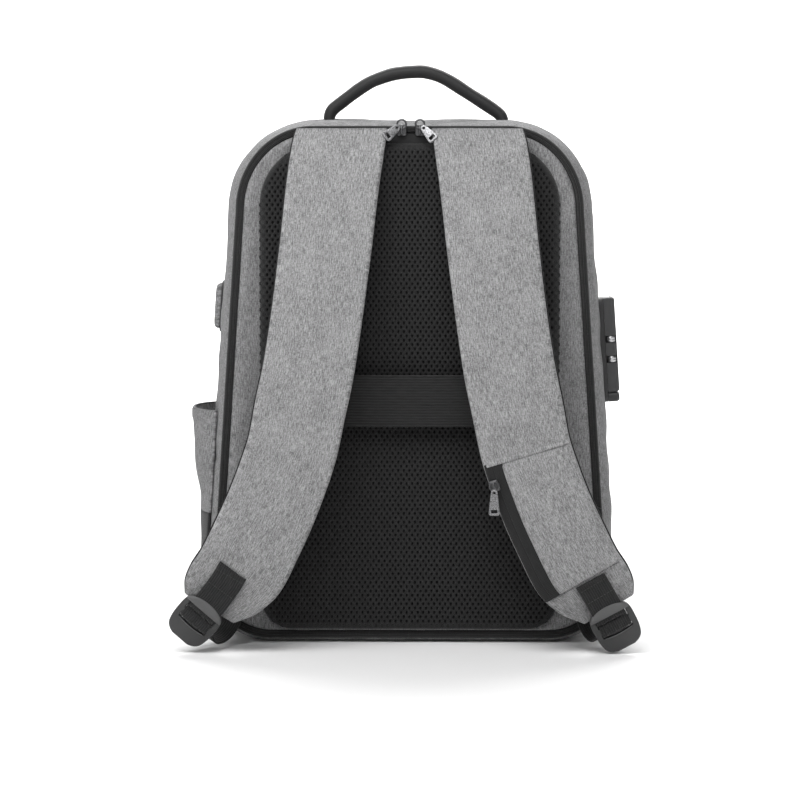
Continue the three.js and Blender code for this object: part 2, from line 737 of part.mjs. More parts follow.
// Bottle pocket: an open-topped pouch on the left side, grey above and black below
const pocketRows = [
  { height: 0.0, reach: 0.03 }, { height: 0.06, reach: 0.12 }, { height: 0.2, reach: 0.2 },
  { height: 0.4, reach: 0.27 }, { height: 0.52, reach: 0.38 }, { height: 0.66, reach: 0.6 },
  { height: 0.82, reach: 0.86 }, { height: 1.0, reach: 1.0 },
];
const pocketColumns = 12;

function pocketSheet(low, high, steps) {
  const whole = pocketTop - pocketBottom;
  const grid = (lift) => evenShares(steps).map((s) => {
    const z = lerp(low, high, s);
    const reach = pocketReach * between(pocketRows, 'height', 'reach', (z - pocketBottom) / whole);
    return evenShares(pocketColumns).map((c) => {
      const spread = 2 * c - 1;
      const y = spread * pocketHalfDepth;
      const swell = reach * (1 - Math.abs(spread) ** 3);
      return vec(-(gussetHalfWidth(y, z) + clothGap + swell + lift), y, z);
    });
  });
  return sheetSolid(grid(pocketWall), grid(0));
}

// Places a flat-mounted fitting square to the gusset's side at a height
function onGussetSide(side, height) {
  const step = 10;
  const lean = Math.atan2(gussetHalfWidth(0, height - step) - gussetHalfWidth(0, height + step), 2 * step);
  const group = new THREE.Group();
  group.position.set(side * (gussetHalfWidth(0, height) + clearance), 0, height);
  group.rotation.y = -side * lean;
  return group;
}

// A block with rounded or chamfered upright edges whose sections are given from its seat outward
function stackedBlock(side, sections) {
  const corner = 4;
  return loftSolid(sections.map(({ out, width, length, radius }) => (
    [[1, -1, -90], [1, 1, 0], [-1, 1, 90], [-1, -1, 180]].flatMap(([sy, sz, start]) => (
      evenShares(corner).map((s) => {
        const turn = radians(start + 90 * s);
        return vec(
          side * out,
          sy * (width / 2 - radius) + radius * Math.cos(turn),
          sz * (length / 2 - radius) + radius * Math.sin(turn),
        );
      }))))));
}

function portFrame() {
  const [width, length] = [portWidth + 2 * portFrameMargin, portLength + 2 * portFrameMargin];
  return stackedBlock(-1, [
    { out: 0, width, length, radius: 6 },
    { out: portFrameThickness, width, length, radius: 6 },
  ]);
}

function portCover() {
  const seat = portFrameThickness + clearance;
  const ease = 1.2;
  return stackedBlock(-1, [
    { out: seat, width: portWidth, length: portLength, radius: 5 },
    { out: seat + portCoverThickness - ease, width: portWidth, length: portLength, radius: 5 },
    { out: seat + portCoverThickness, width: portWidth - 2 * ease, length: portLength - 2 * ease, radius: 4 },
  ]);
}

// Turns a closed geometry into a solid for cutting, and back
function solidOf(geometry) {
  const bare = geometry.clone();
  bare.deleteAttribute('normal');
  bare.deleteAttribute('uv');
  const merged = mergeVertices(bare, 1e-4);
  return new wasm.Manifold(new wasm.Mesh({
    numProp: 3,
    vertProperties: new Float32Array(merged.attributes.position.array),
    triVerts: new Uint32Array(merged.index.array),
  }));
}

function geometryOf(solid) {
  const mesh = solid.getMesh();
  const geometry = new THREE.BufferGeometry();
  geometry.setAttribute('position', new THREE.BufferAttribute(new Float32Array(mesh.vertProperties), 3));
  geometry.setIndex(new THREE.BufferAttribute(new Uint32Array(mesh.triVerts), 1));
  geometry.computeVertexNormals();
  return geometry;
}

const boxSolid = (width, depth, height, centre) => (
  solidOf(new THREE.BoxGeometry(width, depth, height).translate(centre.x, centre.y, centre.z)));

// The dials' centre line inside the lock: inside the cover, close to its harness side
const coverSeat = lockBaseThickness + clearance;
const dialX = coverSeat + lockCoverThickness / 2 - 0.1;
const dialY = -lockCoverWidth / 2 + dialRadius - dialProud;
const coverBottom = -lockLength / 2 + lockCapLength + clearance;
const coverTop = lockLength / 2;

function lockBase() {
  return stackedBlock(1, [
    { out: 0, width: lockBaseWidth, length: lockLength, radius: 5 },
    { out: lockBaseThickness, width: lockBaseWidth, length: lockLength, radius: 5 },
  ]);
}

function lockCover() {
  const length = coverTop - coverBottom;
  const middle = (coverTop + coverBottom) / 2;
  const full = { width: lockCoverWidth, length, radius: 1.5 };
  const block = stackedBlock(1, [
    { out: coverSeat, ...full },
    { out: coverSeat + lockCoverThickness - lockChamfer, ...full },
    {
      out: coverSeat + lockCoverThickness,
      width: lockCoverWidth - 2 * lockChamfer, length: length - lockChamfer, radius: 1.2,
    },
  ]).translate(0, 0, middle);
  let solid = solidOf(block);
  const pocket = dialRadius + dialGap;
  for (const height of Object.values(dialHeights)) {
    const depth = lockCoverWidth / 2 + dialY + pocket;
    const centre = vec(dialX, dialY + pocket - depth / 2 - 1, height);
    solid = solid.subtract(boxSolid(2 * pocket, depth + 2, dialThickness + 2 * dialGap, centre));
  }
  const bore = new THREE.CylinderGeometry(spindleRadius + clearance, spindleRadius + clearance, spindleLength + 2, 12);
  solid = solid.subtract(solidOf(bore.rotateX(Math.PI / 2).translate(dialX, dialY, spindleMiddle)));
  for (const sign of [-1, 1]) {
    const outer = coverSeat + lockCoverThickness - zipNotch.depth / 2;
    const centre = vec(outer, sign * zipNotch.spacing / 2, coverTop - zipNotch.length / 2 + 1);
    solid = solid.subtract(boxSolid(zipNotch.depth + 1, zipNotch.width, zipNotch.length + 2, centre));
  }
  return geometryOf(solid);
}

function lockCap() {
  const full = { width: lockCoverWidth, length: lockCapLength, radius: 3.2 };
  return stackedBlock(1, [
    { out: coverSeat, ...full },
    { out: coverSeat + lockCoverThickness - lockChamfer, ...full },
    {
      out: coverSeat + lockCoverThickness - 0.4,
      width: lockCoverWidth - 2 * lockChamfer, length: lockCapLength - lockChamfer, radius: 2.4,
    },
  ]).translate(0, 0, -lockLength / 2 + lockCapLength / 2);
}

// Spindle: the plain pin that both dials turn on, held in the cover's bore
const spindleOverrun = 4;
const spindleMiddle = (dialHeights.upper + dialHeights.lower) / 2;
const spindleLength = dialHeights.upper - dialHeights.lower + dialThickness + 2 * spindleOverrun;

function lockSpindle() {
  return new THREE.CylinderGeometry(spindleRadius, spindleRadius, spindleLength, 12)
    .rotateX(Math.PI / 2).translate(dialX, dialY, spindleMiddle);
}

function lockDial() {
  const bore = spindleRadius + clearance;
  const half = dialThickness / 2;
  const ease = 0.5;
  const profile = [
    [bore, -half], [dialRadius - ease, -half], [dialRadius, -half + ease],
    [dialRadius, half - ease], [dialRadius - ease, half], [bore, half], [bore, -half],
  ].map(([r, h]) => new THREE.Vector2(r, h));
  return new THREE.LatheGeometry(profile, 20).rotateX(Math.PI / 2);
}

// Zip slider: a flat body with the post that its pull tab hangs on, seat at zero and outward along -Y
function zipSlider() {
  const rectangle = (width, length, out) => (
    [[-1, -1], [1, -1], [1, 1], [-1, 1]].map(([sx, sz]) => vec(sx * width / 2, -out, sz * length / 2)));
  const ease = 0.8;
  const { width, length, height } = sliderPost;
  return loftSolid([
    rectangle(sliderWidth - ease, sliderLength - ease, 0),
    rectangle(sliderWidth, sliderLength, ease),
    rectangle(sliderWidth, sliderLength, sliderThickness - ease),
    rectangle(sliderWidth - 2 * ease, sliderLength - 2 * ease, sliderThickness),
    rectangle(width, length, sliderThickness + 0.01),
    rectangle(width, length, sliderThickness + height),
  ]);
}

// Pull tab: a metal plate with an eye at its top and a slot near its end, eye at the origin, hanging down
function pullTab(length) {
  const half = pullerWidth / 2;
  const shape = new THREE.Shape();
  shape.absarc(0, 0, half, 0, Math.PI, false);
  shape.lineTo(-half, half - length + 2);
  shape.absarc(0, half - length, half, Math.PI * 1.02, Math.PI * 1.98, false);
  shape.closePath();
  const eye = new THREE.Path();
  eye.absarc(0, 0, pullerEye, 0, 2 * Math.PI, true);
  const slotMiddle = half - length + pullerSlot.length / 2;
  const slot = new THREE.Path([
    [-1, -1], [-1, 1], [1, 1], [1, -1],
  ].map(([sx, sy]) => new THREE.Vector2(sx * pullerSlot.width / 2, slotMiddle + sy * pullerSlot.length / 2)));
  shape.holes.push(eye, slot);
  return new THREE.ExtrudeGeometry(shape, { depth: pullerThickness, bevelEnabled: false, curveSegments: 8 })
    .translate(0, 0, -pullerThickness / 2).rotateX(Math.PI / 2);
}

const bag = new THREE.Group();

function addPiece(name, geometry, finish, parent = bag) {
  const mesh = new THREE.Mesh(geometry, new THREE.MeshStandardMaterial(finish));
  mesh.name = name;
  parent.add(mesh);
  return mesh;
}

addPiece('body_gusset', bodyGusset(), melange);
addPiece('front_panel', frontPanel(), melange);
addPiece('back_panel', backPanel(), melange);
addPiece('mesh_pad', meshPad(), spacerMesh);
addPiece('main_zip', mainZip(), darkCloth);
addPiece('yoke_strip', yokeStrip(), darkCloth);
addPiece('carry_handle', carryHandle(), webbingBlack);
addPiece('luggage_band', luggageBand(), webbingBlack);
addPiece('bottle_pocket', pocketSheet(pocketSplit + clearance, pocketTop, 6), melange);
addPiece('bottle_pocket_base', pocketSheet(pocketBottom, pocketSplit, 8), darkCloth);

for (const sideName of ['left', 'right']) {
  const side = sideName === 'left' ? -1 : 1;
  addPiece(`shoulder_strap_${sideName}`, shoulderStrap(side), melange);
  addPiece(`strap_backing_${sideName}`, strapBacking(side), spacerMesh);
  addPiece(`corner_wing_${sideName}`, cornerWing(side), darkCloth);
  addPiece(`webbing_tab_${sideName}`, webbingTab(sideName), webbingBlack);
  addPiece(`adjuster_webbing_${sideName}`, adjusterWebbing(sideName), webbingBlack);
  const frame = buckleFrame(sideName);
  const up = frame.down.clone().negate();
  const right = vec(0, 0, 0).crossVectors(up, frame.outward);
  const buckle = addPiece(`ladder_buckle_${sideName}`, ladderBuckle(), hardPlastic);
  buckle.quaternion.setFromRotationMatrix(new THREE.Matrix4().makeBasis(right, up, frame.outward));
  buckle.position.copy(frame.origin);
}

addPiece('strap_pocket', strapPocket(), melange);
addPiece('strap_pocket_zip', strapPocketZip(), darkCloth);

// Pull tabs at the top of the main zip: each hangs from its slider, splayed and tipped off the straps
for (const [name, place] of Object.entries(topSliderPlaces)) {
  const group = new THREE.Group();
  group.position.set(place, zipFace - clearance, seamHeight - zipWidth / 2);
  bag.add(group);
  addPiece(`zip_slider_${name}`, zipSlider(), gunmetal, group);
  const puller = addPiece(`zip_puller_${name}`, pullTab(zipPullerLength), gunmetal, group);
  puller.position.y = -sliderThickness - sliderPost.height * 0.6;
  puller.rotation.set(radians(-topPullerTip), radians(topPullerSplay[name]), 0, 'YXZ');
}

// Slider of the strap pocket, near the upper end of its zip band
const pocketSliderShare = 0.705;
const pocketSliderAcross = -0.82;
const pocketPullerTurn = 17;
{
  const station = strapStation(1, pocketSliderShare);
  const lift = strapFaceLift(station) + clothGap + strapPocketZipThickness + clearance;
  const group = new THREE.Group();
  const basis = new THREE.Matrix4().makeBasis(
    station.across, station.outward.clone().negate(), station.along.clone().negate());
  group.quaternion.setFromRotationMatrix(basis);
  group.position.copy(strapPoint(station, pocketSliderAcross, lift));
  bag.add(group);
  addPiece('strap_pocket_slider', zipSlider(), gunmetal, group);
  const puller = addPiece('strap_pocket_puller', pullTab(pocketPullerLength), gunmetal, group);
  puller.position.y = -sliderThickness - sliderPost.height * 0.6;
  puller.rotation.set(radians(-4), radians(pocketPullerTurn), 0, 'YXZ');
}

const port = onGussetSide(-1, portHeight);
bag.add(port);
addPiece('port_frame', portFrame(), hardPlastic, port);
addPiece('port_cover', portCover(), melange, port);

const lock = onGussetSide(1, lockHeight);
bag.add(lock);
addPiece('lock_base', lockBase(), hardPlastic, lock);
addPiece('lock_cover', lockCover(), lockPlastic, lock);
addPiece('lock_cap', lockCap(), hardPlastic, lock);
addPiece('lock_spindle', lockSpindle(), brightMetal, lock);
for (const [name, height] of Object.entries(dialHeights)) {
  addPiece(`lock_dial_${name}`, lockDial(), brightMetal, lock).position.set(dialX, dialY, height);
}

export default bag;
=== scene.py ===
"""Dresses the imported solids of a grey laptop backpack. Metres, +Z up, harness towards -Y."""
import math

import bmesh
import bpy
import numpy as np
from mathutils import Matrix, Vector


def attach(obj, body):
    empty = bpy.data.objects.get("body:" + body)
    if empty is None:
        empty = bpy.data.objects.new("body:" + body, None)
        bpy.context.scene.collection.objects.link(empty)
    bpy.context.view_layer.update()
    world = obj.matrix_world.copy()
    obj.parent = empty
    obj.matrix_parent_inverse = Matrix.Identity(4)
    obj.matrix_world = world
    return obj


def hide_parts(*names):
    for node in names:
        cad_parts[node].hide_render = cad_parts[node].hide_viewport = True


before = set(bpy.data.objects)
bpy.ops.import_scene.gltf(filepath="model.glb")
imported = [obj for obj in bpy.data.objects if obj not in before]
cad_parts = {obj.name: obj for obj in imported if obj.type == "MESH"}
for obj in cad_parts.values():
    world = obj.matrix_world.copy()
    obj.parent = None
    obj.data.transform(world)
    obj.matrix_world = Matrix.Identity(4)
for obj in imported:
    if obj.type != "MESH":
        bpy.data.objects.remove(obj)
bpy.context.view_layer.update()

# Camera. It stands well back from the harness side with a long lens, a little above the bag's middle
# and slightly to one side, as in the shop photograph.
MM = 0.001
camera_aim = Vector((-8, -59, 203)) * MM
camera_turn, camera_rise = math.radians(0.8), math.radians(5)
camera_distance = 2600 * MM
towards_camera = Vector((
    math.sin(camera_turn) * math.cos(camera_rise),
    -math.cos(camera_turn) * math.cos(camera_rise),
    math.sin(camera_rise),
))
camera_data = bpy.data.cameras.new("camera")
camera_data.sensor_width = 36
camera_data.lens = 140.96
camera = bpy.data.objects.new("camera", camera_data)
camera.location = camera_aim + towards_camera * camera_distance
camera.rotation_mode = "QUATERNION"
camera.rotation_quaternion = (-towards_camera).to_track_quat("-Z", "Y")
bpy.context.scene.collection.objects.link(camera)
bpy.context.scene.camera = camera

# Studio. A white sweep under and behind the bag, one large soft light above the harness side, a weak
# one far in front, and one above the sweep that keeps it white.
FLOOR_HALF, SWEEP_BACK, SWEEP_HEIGHT, SWEEP_RADIUS = 6.0, 4.6, 5.0, 1.2


def add_node(tree, kind, values=None, **settings):
    """Adds a shader node, with values or links for its named inputs."""
    made = tree.nodes.new(kind)
    for key, value in settings.items():
        setattr(made, key, value)
    for key, value in (values or {}).items():
        if isinstance(value, bpy.types.NodeSocket):
            tree.links.new(value, made.inputs[key])
        else:
            made.inputs[key].default_value = value
    return made


def new_finish(name, colour, roughness, specular=0.5, sheen=0.0, metallic=0.0):
    """A material with its Principled shader, ready for patterns."""
    finish = bpy.data.materials.new(name)
    finish.use_nodes = True
    shader = finish.node_tree.nodes["Principled BSDF"]
    shader.inputs["Base Color"].default_value = (*colour, 1)
    shader.inputs["Roughness"].default_value = roughness
    shader.inputs["Specular IOR Level"].default_value = specular
    shader.inputs["Sheen Weight"].default_value = sheen
    shader.inputs["Metallic"].default_value = metallic
    return finish, finish.node_tree, shader


def add_mesh(name, points, faces, finish, smooth=True):
    """Makes an object from points in millimetres."""
    mesh = bpy.data.meshes.new(name)
    mesh.from_pydata((np.asarray(points, float).reshape(-1, 3) * MM).tolist(), [], faces)
    mesh.polygons.foreach_set("use_smooth", [smooth] * len(mesh.polygons))
    mesh.materials.append(finish)
    mesh.update()
    made = bpy.data.objects.new(name, mesh)
    bpy.context.scene.collection.objects.link(made)
    return made


paper_white, _, _ = new_finish("paper white", (0.9, 0.9, 0.9), 0.9, specular=0.1)
sweep_line = [(-FLOOR_HALF, 0.0), (SWEEP_BACK - SWEEP_RADIUS, 0.0)]
for step in range(1, 13):
    turn = math.radians(90 * step / 12)
    sweep_line.append((
        SWEEP_BACK - SWEEP_RADIUS + SWEEP_RADIUS * math.sin(turn),
        SWEEP_RADIUS - SWEEP_RADIUS * math.cos(turn),
    ))
sweep_line.append((SWEEP_BACK, SWEEP_HEIGHT))
sweep_points = [(x / MM, y / MM, z / MM) for y, z in sweep_line for x in (-FLOOR_HALF, FLOOR_HALF)]
sweep_faces = [(2 * i, 2 * i + 1, 2 * i + 3, 2 * i + 2) for i in range(len(sweep_line) - 1)]
add_mesh("floor_sweep", sweep_points, sweep_faces, paper_white)

bpy.context.scene.view_settings.view_transform = "Standard"
world = bpy.data.worlds.new("studio")
world.use_nodes = True
world.node_tree.nodes["Background"].inputs["Color"].default_value = (1, 1, 1, 1)
world.node_tree.nodes["Background"].inputs["Strength"].default_value = 0.21
bpy.context.scene.world = world


def add_light(name, place, aim, width, depth, watts):
    data = bpy.data.lights.new(name, "AREA")
    data.shape, data.size, data.size_y, data.energy = "RECTANGLE", width, depth, watts
    light = bpy.data.objects.new(name, data)
    light.location = place
    light.rotation_mode = "QUATERNION"
    light.rotation_quaternion = (Vector(aim) - Vector(place)).to_track_quat("-Z", "Y")
    bpy.context.scene.collection.objects.link(light)


add_light("key", (-0.25, -0.8, 1.2), (0, 0, 0.25), 1.2, 0.8, 17.5)
add_light("sweep_light", (0, 3.0, 3.4), (0, 3.0, 0), 5.0, 2.6, 330)
add_light("front_fill", (0.6, -3.4, 1.4), (0, 0, 0.2), 2.2, 1.6, 5)

# Body gusset. The cloth band round the sides, top and base, cut from grey melange polyester and padded
# a little, so it swells between its two seams. It rests on its flat base.
SEAM_HEIGHT, BOTTOM_HALF, TOP_HALF = 429.5, 164.0, 143.5
BOTTOM_RADIUS, TOP_CORNER = 48.0, (63.5, 69.5)
BACK_Y, FRONT_Y = -59.0, 59.0
GUSSET_BULGE, CROWN_RISE, HEM_LIFT = 9.0, 5.0, 4.0
GUSSET_PROFILE = np.array([
    (0, 0, 1), (0.06, 0.42, 0), (0.12, 0.66, 0), (0.3, 0.95, 0), (0.5, 1, 0),
    (0.7, 0.94, 0), (0.86, 0.68, 0), (0.95, 0.2, 0.4), (1, -0.6, 1.6),
])


def read_table(rows, column, at):
    """Reads a column on a smooth curve through the table's rows."""
    keys, values = rows[:, 0], rows[:, column]
    at = np.asarray(at, float)
    slopes = np.gradient(values, keys) if len(keys) < 3 else np.concatenate((
        [(values[1] - values[0]) / (keys[1] - keys[0])],
        (values[2:] - values[:-2]) / (keys[2:] - keys[:-2]),
        [(values[-1] - values[-2]) / (keys[-1] - keys[-2])],
    ))
    i = np.clip(np.searchsorted(keys, at, side="left") - 1, 0, len(keys) - 2)
    span = keys[i + 1] - keys[i]
    t = np.clip((at - keys[i]) / span, 0, 1)
    return ((2 * t**3 - 3 * t**2 + 1) * values[i] + (t**3 - 2 * t**2 + t) * slopes[i] * span
            + (3 * t**2 - 2 * t**3) * values[i + 1] + (t**3 - t**2) * slopes[i + 1] * span)


def seam_outline(count):
    """Places and outward directions round the back seam, evenly spaced from the middle of the base."""
    base_end, corner_start = BOTTOM_HALF - BOTTOM_RADIUS, SEAM_HEIGHT - TOP_CORNER[1]
    top_end = TOP_HALF - TOP_CORNER[0]
    turns = np.linspace(0, math.pi / 2, 80)
    side = np.linspace(0, 1, 200)[:, None]
    half = np.vstack((
        [(0, 0)],
        np.c_[base_end + BOTTOM_RADIUS * np.sin(turns), BOTTOM_RADIUS * (1 - np.cos(turns))],
        (1 - side) * (BOTTOM_HALF, BOTTOM_RADIUS) + side * (TOP_HALF, corner_start),
        np.c_[top_end + TOP_CORNER[0] * np.cos(turns), corner_start + TOP_CORNER[1] * np.sin(turns)],
        [(0, SEAM_HEIGHT)],
    ))
    ring = np.vstack((half, half[::-1] * (-1, 1)))
    length = np.concatenate(([0], np.cumsum(np.linalg.norm(np.diff(ring, axis=0), axis=1))))
    at = np.arange(count) * length[-1] / count
    places = np.c_[np.interp(at, length, ring[:, 0]), np.interp(at, length, ring[:, 1])]
    ahead = np.roll(places, -2, axis=0) - np.roll(places, 2, axis=0)
    outward = np.c_[ahead[:, 1], -ahead[:, 0]]
    return places, outward / np.linalg.norm(outward, axis=1)[:, None], at


def outline_at(outline, y, side, top=None, base=None):
    """The outline at one depth, moved out by one distance at the sides, top and base."""
    places, outward, _ = outline
    top, base = (side if top is None else top), (side if base is None else base)
    rise = np.where(outward[:, 1] > 0, top, base)
    return np.c_[places[:, 0] + outward[:, 0] * side, np.full(len(places), y) + 0 * side,
                 places[:, 1] + outward[:, 1] * rise]


def ripples(points, size, seed, waves=9):
    """Soft uneven waves over points in millimetres, between about -1 and 1."""
    chance = np.random.default_rng(seed)
    ways = chance.normal(size=(waves, 3))
    ways *= (chance.uniform(0.6, 1.5, waves) * 2 * math.pi / size / np.linalg.norm(ways, axis=1))[:, None]
    phases = chance.uniform(0, 2 * math.pi, waves)
    return np.sin(np.asarray(points) @ ways.T + phases).sum(1) / math.sqrt(waves)


def grid_faces(rows, columns, round_rows=False, round_columns=False, start=0):
    """Quads over a grid of points, which may close on itself either way."""
    faces = []
    for r in range(rows if round_rows else rows - 1):
        for c in range(columns if round_columns else columns - 1):
            r2, c2 = (r + 1) % rows, (c + 1) % columns
            faces.append((start + r * columns + c, start + r * columns + c2,
                          start + r2 * columns + c2, start + r2 * columns + c))
    return faces


def set_grain(piece, across, along):
    """Stores where each point lies in its cloth, in metres across and along the thread."""
    grain = piece.data.attributes.new("grain", "FLOAT_VECTOR", "POINT")
    flat = np.c_[np.ravel(across), np.ravel(along), np.zeros(np.size(across))] * MM
    grain.data.foreach_set("vector", flat.astype(np.float32).ravel())


def settle(piece, slot, *nodes, body="root"):
    """Fixes a finished piece to its body, in the place of its CAD nodes."""
    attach(piece, body)
    if nodes:
        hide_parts(*nodes)
    return piece


def pattern_group(name, inputs, outputs):
    """An empty node group with named inputs and outputs."""
    group = bpy.data.node_groups.new(name, "ShaderNodeTree")
    for socket, kind, value in inputs:
        made = group.interface.new_socket(socket, in_out="INPUT", socket_type="NodeSocket" + kind)
        if value is not None:
            made.default_value = value
    for socket, kind in outputs:
        group.interface.new_socket(socket, in_out="OUTPUT", socket_type="NodeSocket" + kind)
    return group, group.nodes.new("NodeGroupInput").outputs, group.nodes.new("NodeGroupOutput").inputs


def calculate(tree, operation, *values, clamp=False):
    """The result of a Math node."""
    made = add_node(tree, "ShaderNodeMath", dict(enumerate(values)), operation=operation, use_clamp=clamp)
    return made.outputs[0]


def thread_noise(group, across, along, width, length, detail=2.0):
    """Uneven shade in streaks of that width and length in millimetres."""
    place = add_node(group, "ShaderNodeCombineXYZ", {
        "X": calculate(group, "DIVIDE", across, calculate(group, "MULTIPLY", width, MM)),
        "Y": calculate(group, "DIVIDE", along, calculate(group, "MULTIPLY", length, MM)),
    })
    made = add_node(group, "ShaderNodeTexNoise", {
        "Vector": place.outputs[0], "Scale": 1.0, "Detail": detail, "Roughness": 0.55,
    }, noise_dimensions="2D")
    return calculate(group, "SUBTRACT", made.outputs[0], 0.5)


def mix_colours(tree, factor, dark, light):
    made = add_node(tree, "ShaderNodeMix", data_type="RGBA")
    for socket, value in zip(("Factor_Float", "A_Color", "B_Color"), (factor, dark, light)):
        target = next(s for s in made.inputs if s.identifier == socket)
        if isinstance(value, bpy.types.NodeSocket):
            tree.links.new(value, target)
        else:
            target.default_value = value
    return next(s for s in made.outputs if s.identifier == "Result_Color")


melange_threads, given, result = pattern_group("melange threads", [
    ("Grain", "Vector", None),
    ("Light yarn", "Color", (0.3, 0.3, 0.3, 1)), ("Dark yarn", "Color", (0.1, 0.1, 0.1, 1)),
    ("Slub width", "Float", 0.75), ("Slub length", "Float", 5.5), ("Contrast", "Float", 1.0),
], [("Colour", "Color"), ("Height", "Float")])
split = add_node(melange_threads, "ShaderNodeSeparateXYZ", {0: given["Grain"]}).outputs
slubs = thread_noise(melange_threads, split[0], split[1], given["Slub width"], given["Slub length"])
fine = thread_noise(melange_threads, split[0], split[1], 0.45, 1.7)
crossing = thread_noise(melange_threads, split[0], split[1], 3.2, 0.6)
cloudy = thread_noise(melange_threads, split[0], split[1], 14.0, 26.0)
streaks = calculate(melange_threads, "ADD", slubs, calculate(melange_threads, "MULTIPLY", fine, 0.8))
streaks = calculate(melange_threads, "ADD", streaks, calculate(melange_threads, "MULTIPLY", crossing, 0.45))
streaks = calculate(melange_threads, "ADD", streaks, calculate(melange_threads, "MULTIPLY", cloudy, 0.25))
shade = calculate(melange_threads, "MULTIPLY_ADD", streaks, given["Contrast"], 0.5, clamp=True)
melange_threads.links.new(mix_colours(melange_threads, shade, given["Dark yarn"], given["Light yarn"]),
                          result["Colour"])
THREAD_TURNS = 2 * math.pi / 0.0007
warp = calculate(melange_threads, "SINE", calculate(melange_threads, "MULTIPLY", split[0], THREAD_TURNS))
weft = calculate(melange_threads, "SINE", calculate(melange_threads, "MULTIPLY", split[1], THREAD_TURNS))
weave = calculate(melange_threads, "MULTIPLY", warp, weft)
melange_threads.links.new(calculate(melange_threads, "MULTIPLY_ADD", weave, 0.12, shade), result["Height"])


def grain_of(tree):
    return add_node(tree, "ShaderNodeAttribute", attribute_name="grain").outputs["Vector"]


def add_bump(tree, shader, height, distance, strength=1.0):
    bump = add_node(tree, "ShaderNodeBump", {"Height": height, "Distance": distance, "Strength": strength})
    tree.links.new(bump.outputs[0], shader.inputs["Normal"])


def melange_cloth(name, light, dark, contrast=1.9):
    """Grey polyester whose warp has uneven light and dark yarns."""
    finish, tree, shader = new_finish(name, light, 0.92, specular=0.12, sheen=0.08)
    threads = add_node(tree, "ShaderNodeGroup", node_tree=melange_threads)
    for key, value in {"Light yarn": (*light, 1), "Dark yarn": (*dark, 1), "Contrast": contrast}.items():
        threads.inputs[key].default_value = value
    tree.links.new(grain_of(tree), threads.inputs["Grain"])
    tree.links.new(threads.outputs["Colour"], shader.inputs["Base Color"])
    add_bump(tree, shader, threads.outputs["Height"], 0.00025)
    return finish


melange_grey = melange_cloth("melange grey", (0.32, 0.32, 0.323), (0.11, 0.11, 0.112))
GUSSET_COLUMNS = 420
gusset_outline = seam_outline(GUSSET_COLUMNS)
gusset_depths = np.concatenate((np.linspace(0, 0.12, 9)[:-1], np.linspace(0.12, 0.88, 24)[:-1],
                                np.linspace(0.88, 1, 9)))


def gusset_ring(outline, depth, proud=0.0):
    bulge = read_table(GUSSET_PROFILE, 1, depth)
    lift = read_table(GUSSET_PROFILE, 2, depth)
    return outline_at(outline, BACK_Y + (FRONT_Y - BACK_Y) * depth, bulge * GUSSET_BULGE + proud,
                      bulge * CROWN_RISE + proud, -lift * HEM_LIFT)


def gusset_half_width(y, z):
    """Distance of the gusset's side from the middle plane at a depth and a height."""
    ring = gusset_ring(gusset_outline, (y - BACK_Y) / (FRONT_Y - BACK_Y))
    right = ring[(ring[:, 0] > 60) & (ring[:, 2] > 8)]
    order = np.argsort(right[:, 2])
    return np.interp(z, right[order, 2], right[order, 0])


gusset_points = np.stack([gusset_ring(gusset_outline, depth) for depth in gusset_depths])
across, depth, height = (gusset_points[:, :, axis] for axis in range(3))
by_lock = (across > 0) & (np.abs(height - 241) < 52) & (np.abs(depth) < 20)
by_port = (across < 0) & (np.abs(height - 278) < 27) & (np.abs(depth) < 20)
by_pocket = (across < 0) & (height < 150) & (np.abs(depth) < 50)
slack = np.clip(np.minimum(gusset_depths, 1 - gusset_depths)[:, None] * 8, 0, 1)
slack = slack * np.where(by_lock | by_port, 0.12, 1) * np.where(by_pocket, 0.15, 1)
upright = 1 - np.clip(-gusset_outline[1][:, 1], 0, 1)
along_seam = gusset_points * (1, 2.6, 1)
swell = (ripples(along_seam.reshape(-1, 3), 105, 3) * 1.1
         + ripples(along_seam.reshape(-1, 3), 42, 4) * 0.45).reshape(slack.shape[0], -1)
gusset_points[:, :, 0] += gusset_outline[1][:, 0] * swell * slack * upright
gusset_points[:, :, 2] += np.maximum(gusset_outline[1][:, 1], 0) * swell * slack * 0.7
gusset_points[:, :, 2] = np.maximum(gusset_points[:, :, 2], 0)
body_gusset = add_mesh("gusset_cloth", gusset_points,
                       grid_faces(len(gusset_depths), GUSSET_COLUMNS, round_columns=True), melange_grey)
set_grain(body_gusset, np.repeat(gusset_depths[:, None] * (FRONT_Y - BACK_Y), GUSSET_COLUMNS, axis=1),
          np.repeat(gusset_outline[2][None, :], len(gusset_depths), axis=0))
settle(body_gusset, "melange", "body_gusset")

# Front panel. The crowned front of the bag in the same cloth over thin foam, with a rolled seam where
# it meets the gusset.
FRONT_ROWS = np.array([(0, 0.2), (0.05, 0.45), (0.16, 0.7), (0.38, 0.9), (0.7, 0.99), (1, 1)])
FRONT_CROWN, SEAM_ROLL = 15.0, 1.5
front_shares = np.concatenate(([0, 0.006, 0.014, 0.022], np.linspace(0.03, 0.97, 44)))
seam_ring = gusset_ring(gusset_outline, 1.0)
panel_middle = np.array((0, 0, SEAM_HEIGHT / 2))
front_points = []
for share in front_shares:
    ring = seam_ring * (1 - share) + panel_middle * share
    roll = SEAM_ROLL * math.sin(min(share / 0.022, 1) * math.pi)
    ring[:, 1] = FRONT_Y + 0.3 + FRONT_CROWN * read_table(FRONT_ROWS, 1, share) + roll - 3 * (share == 0)
    loose = ripples(ring, 130, 8) * 1.2 + ripples(ring, 52, 9) * 0.4
    ring[:, 1] += loose * min(share * 6, 1) - 1.2 * min(share * 6, 1)
    front_points.append(ring)
front_points = np.stack(front_points)
front_faces = grid_faces(len(front_shares), GUSSET_COLUMNS, round_columns=True)
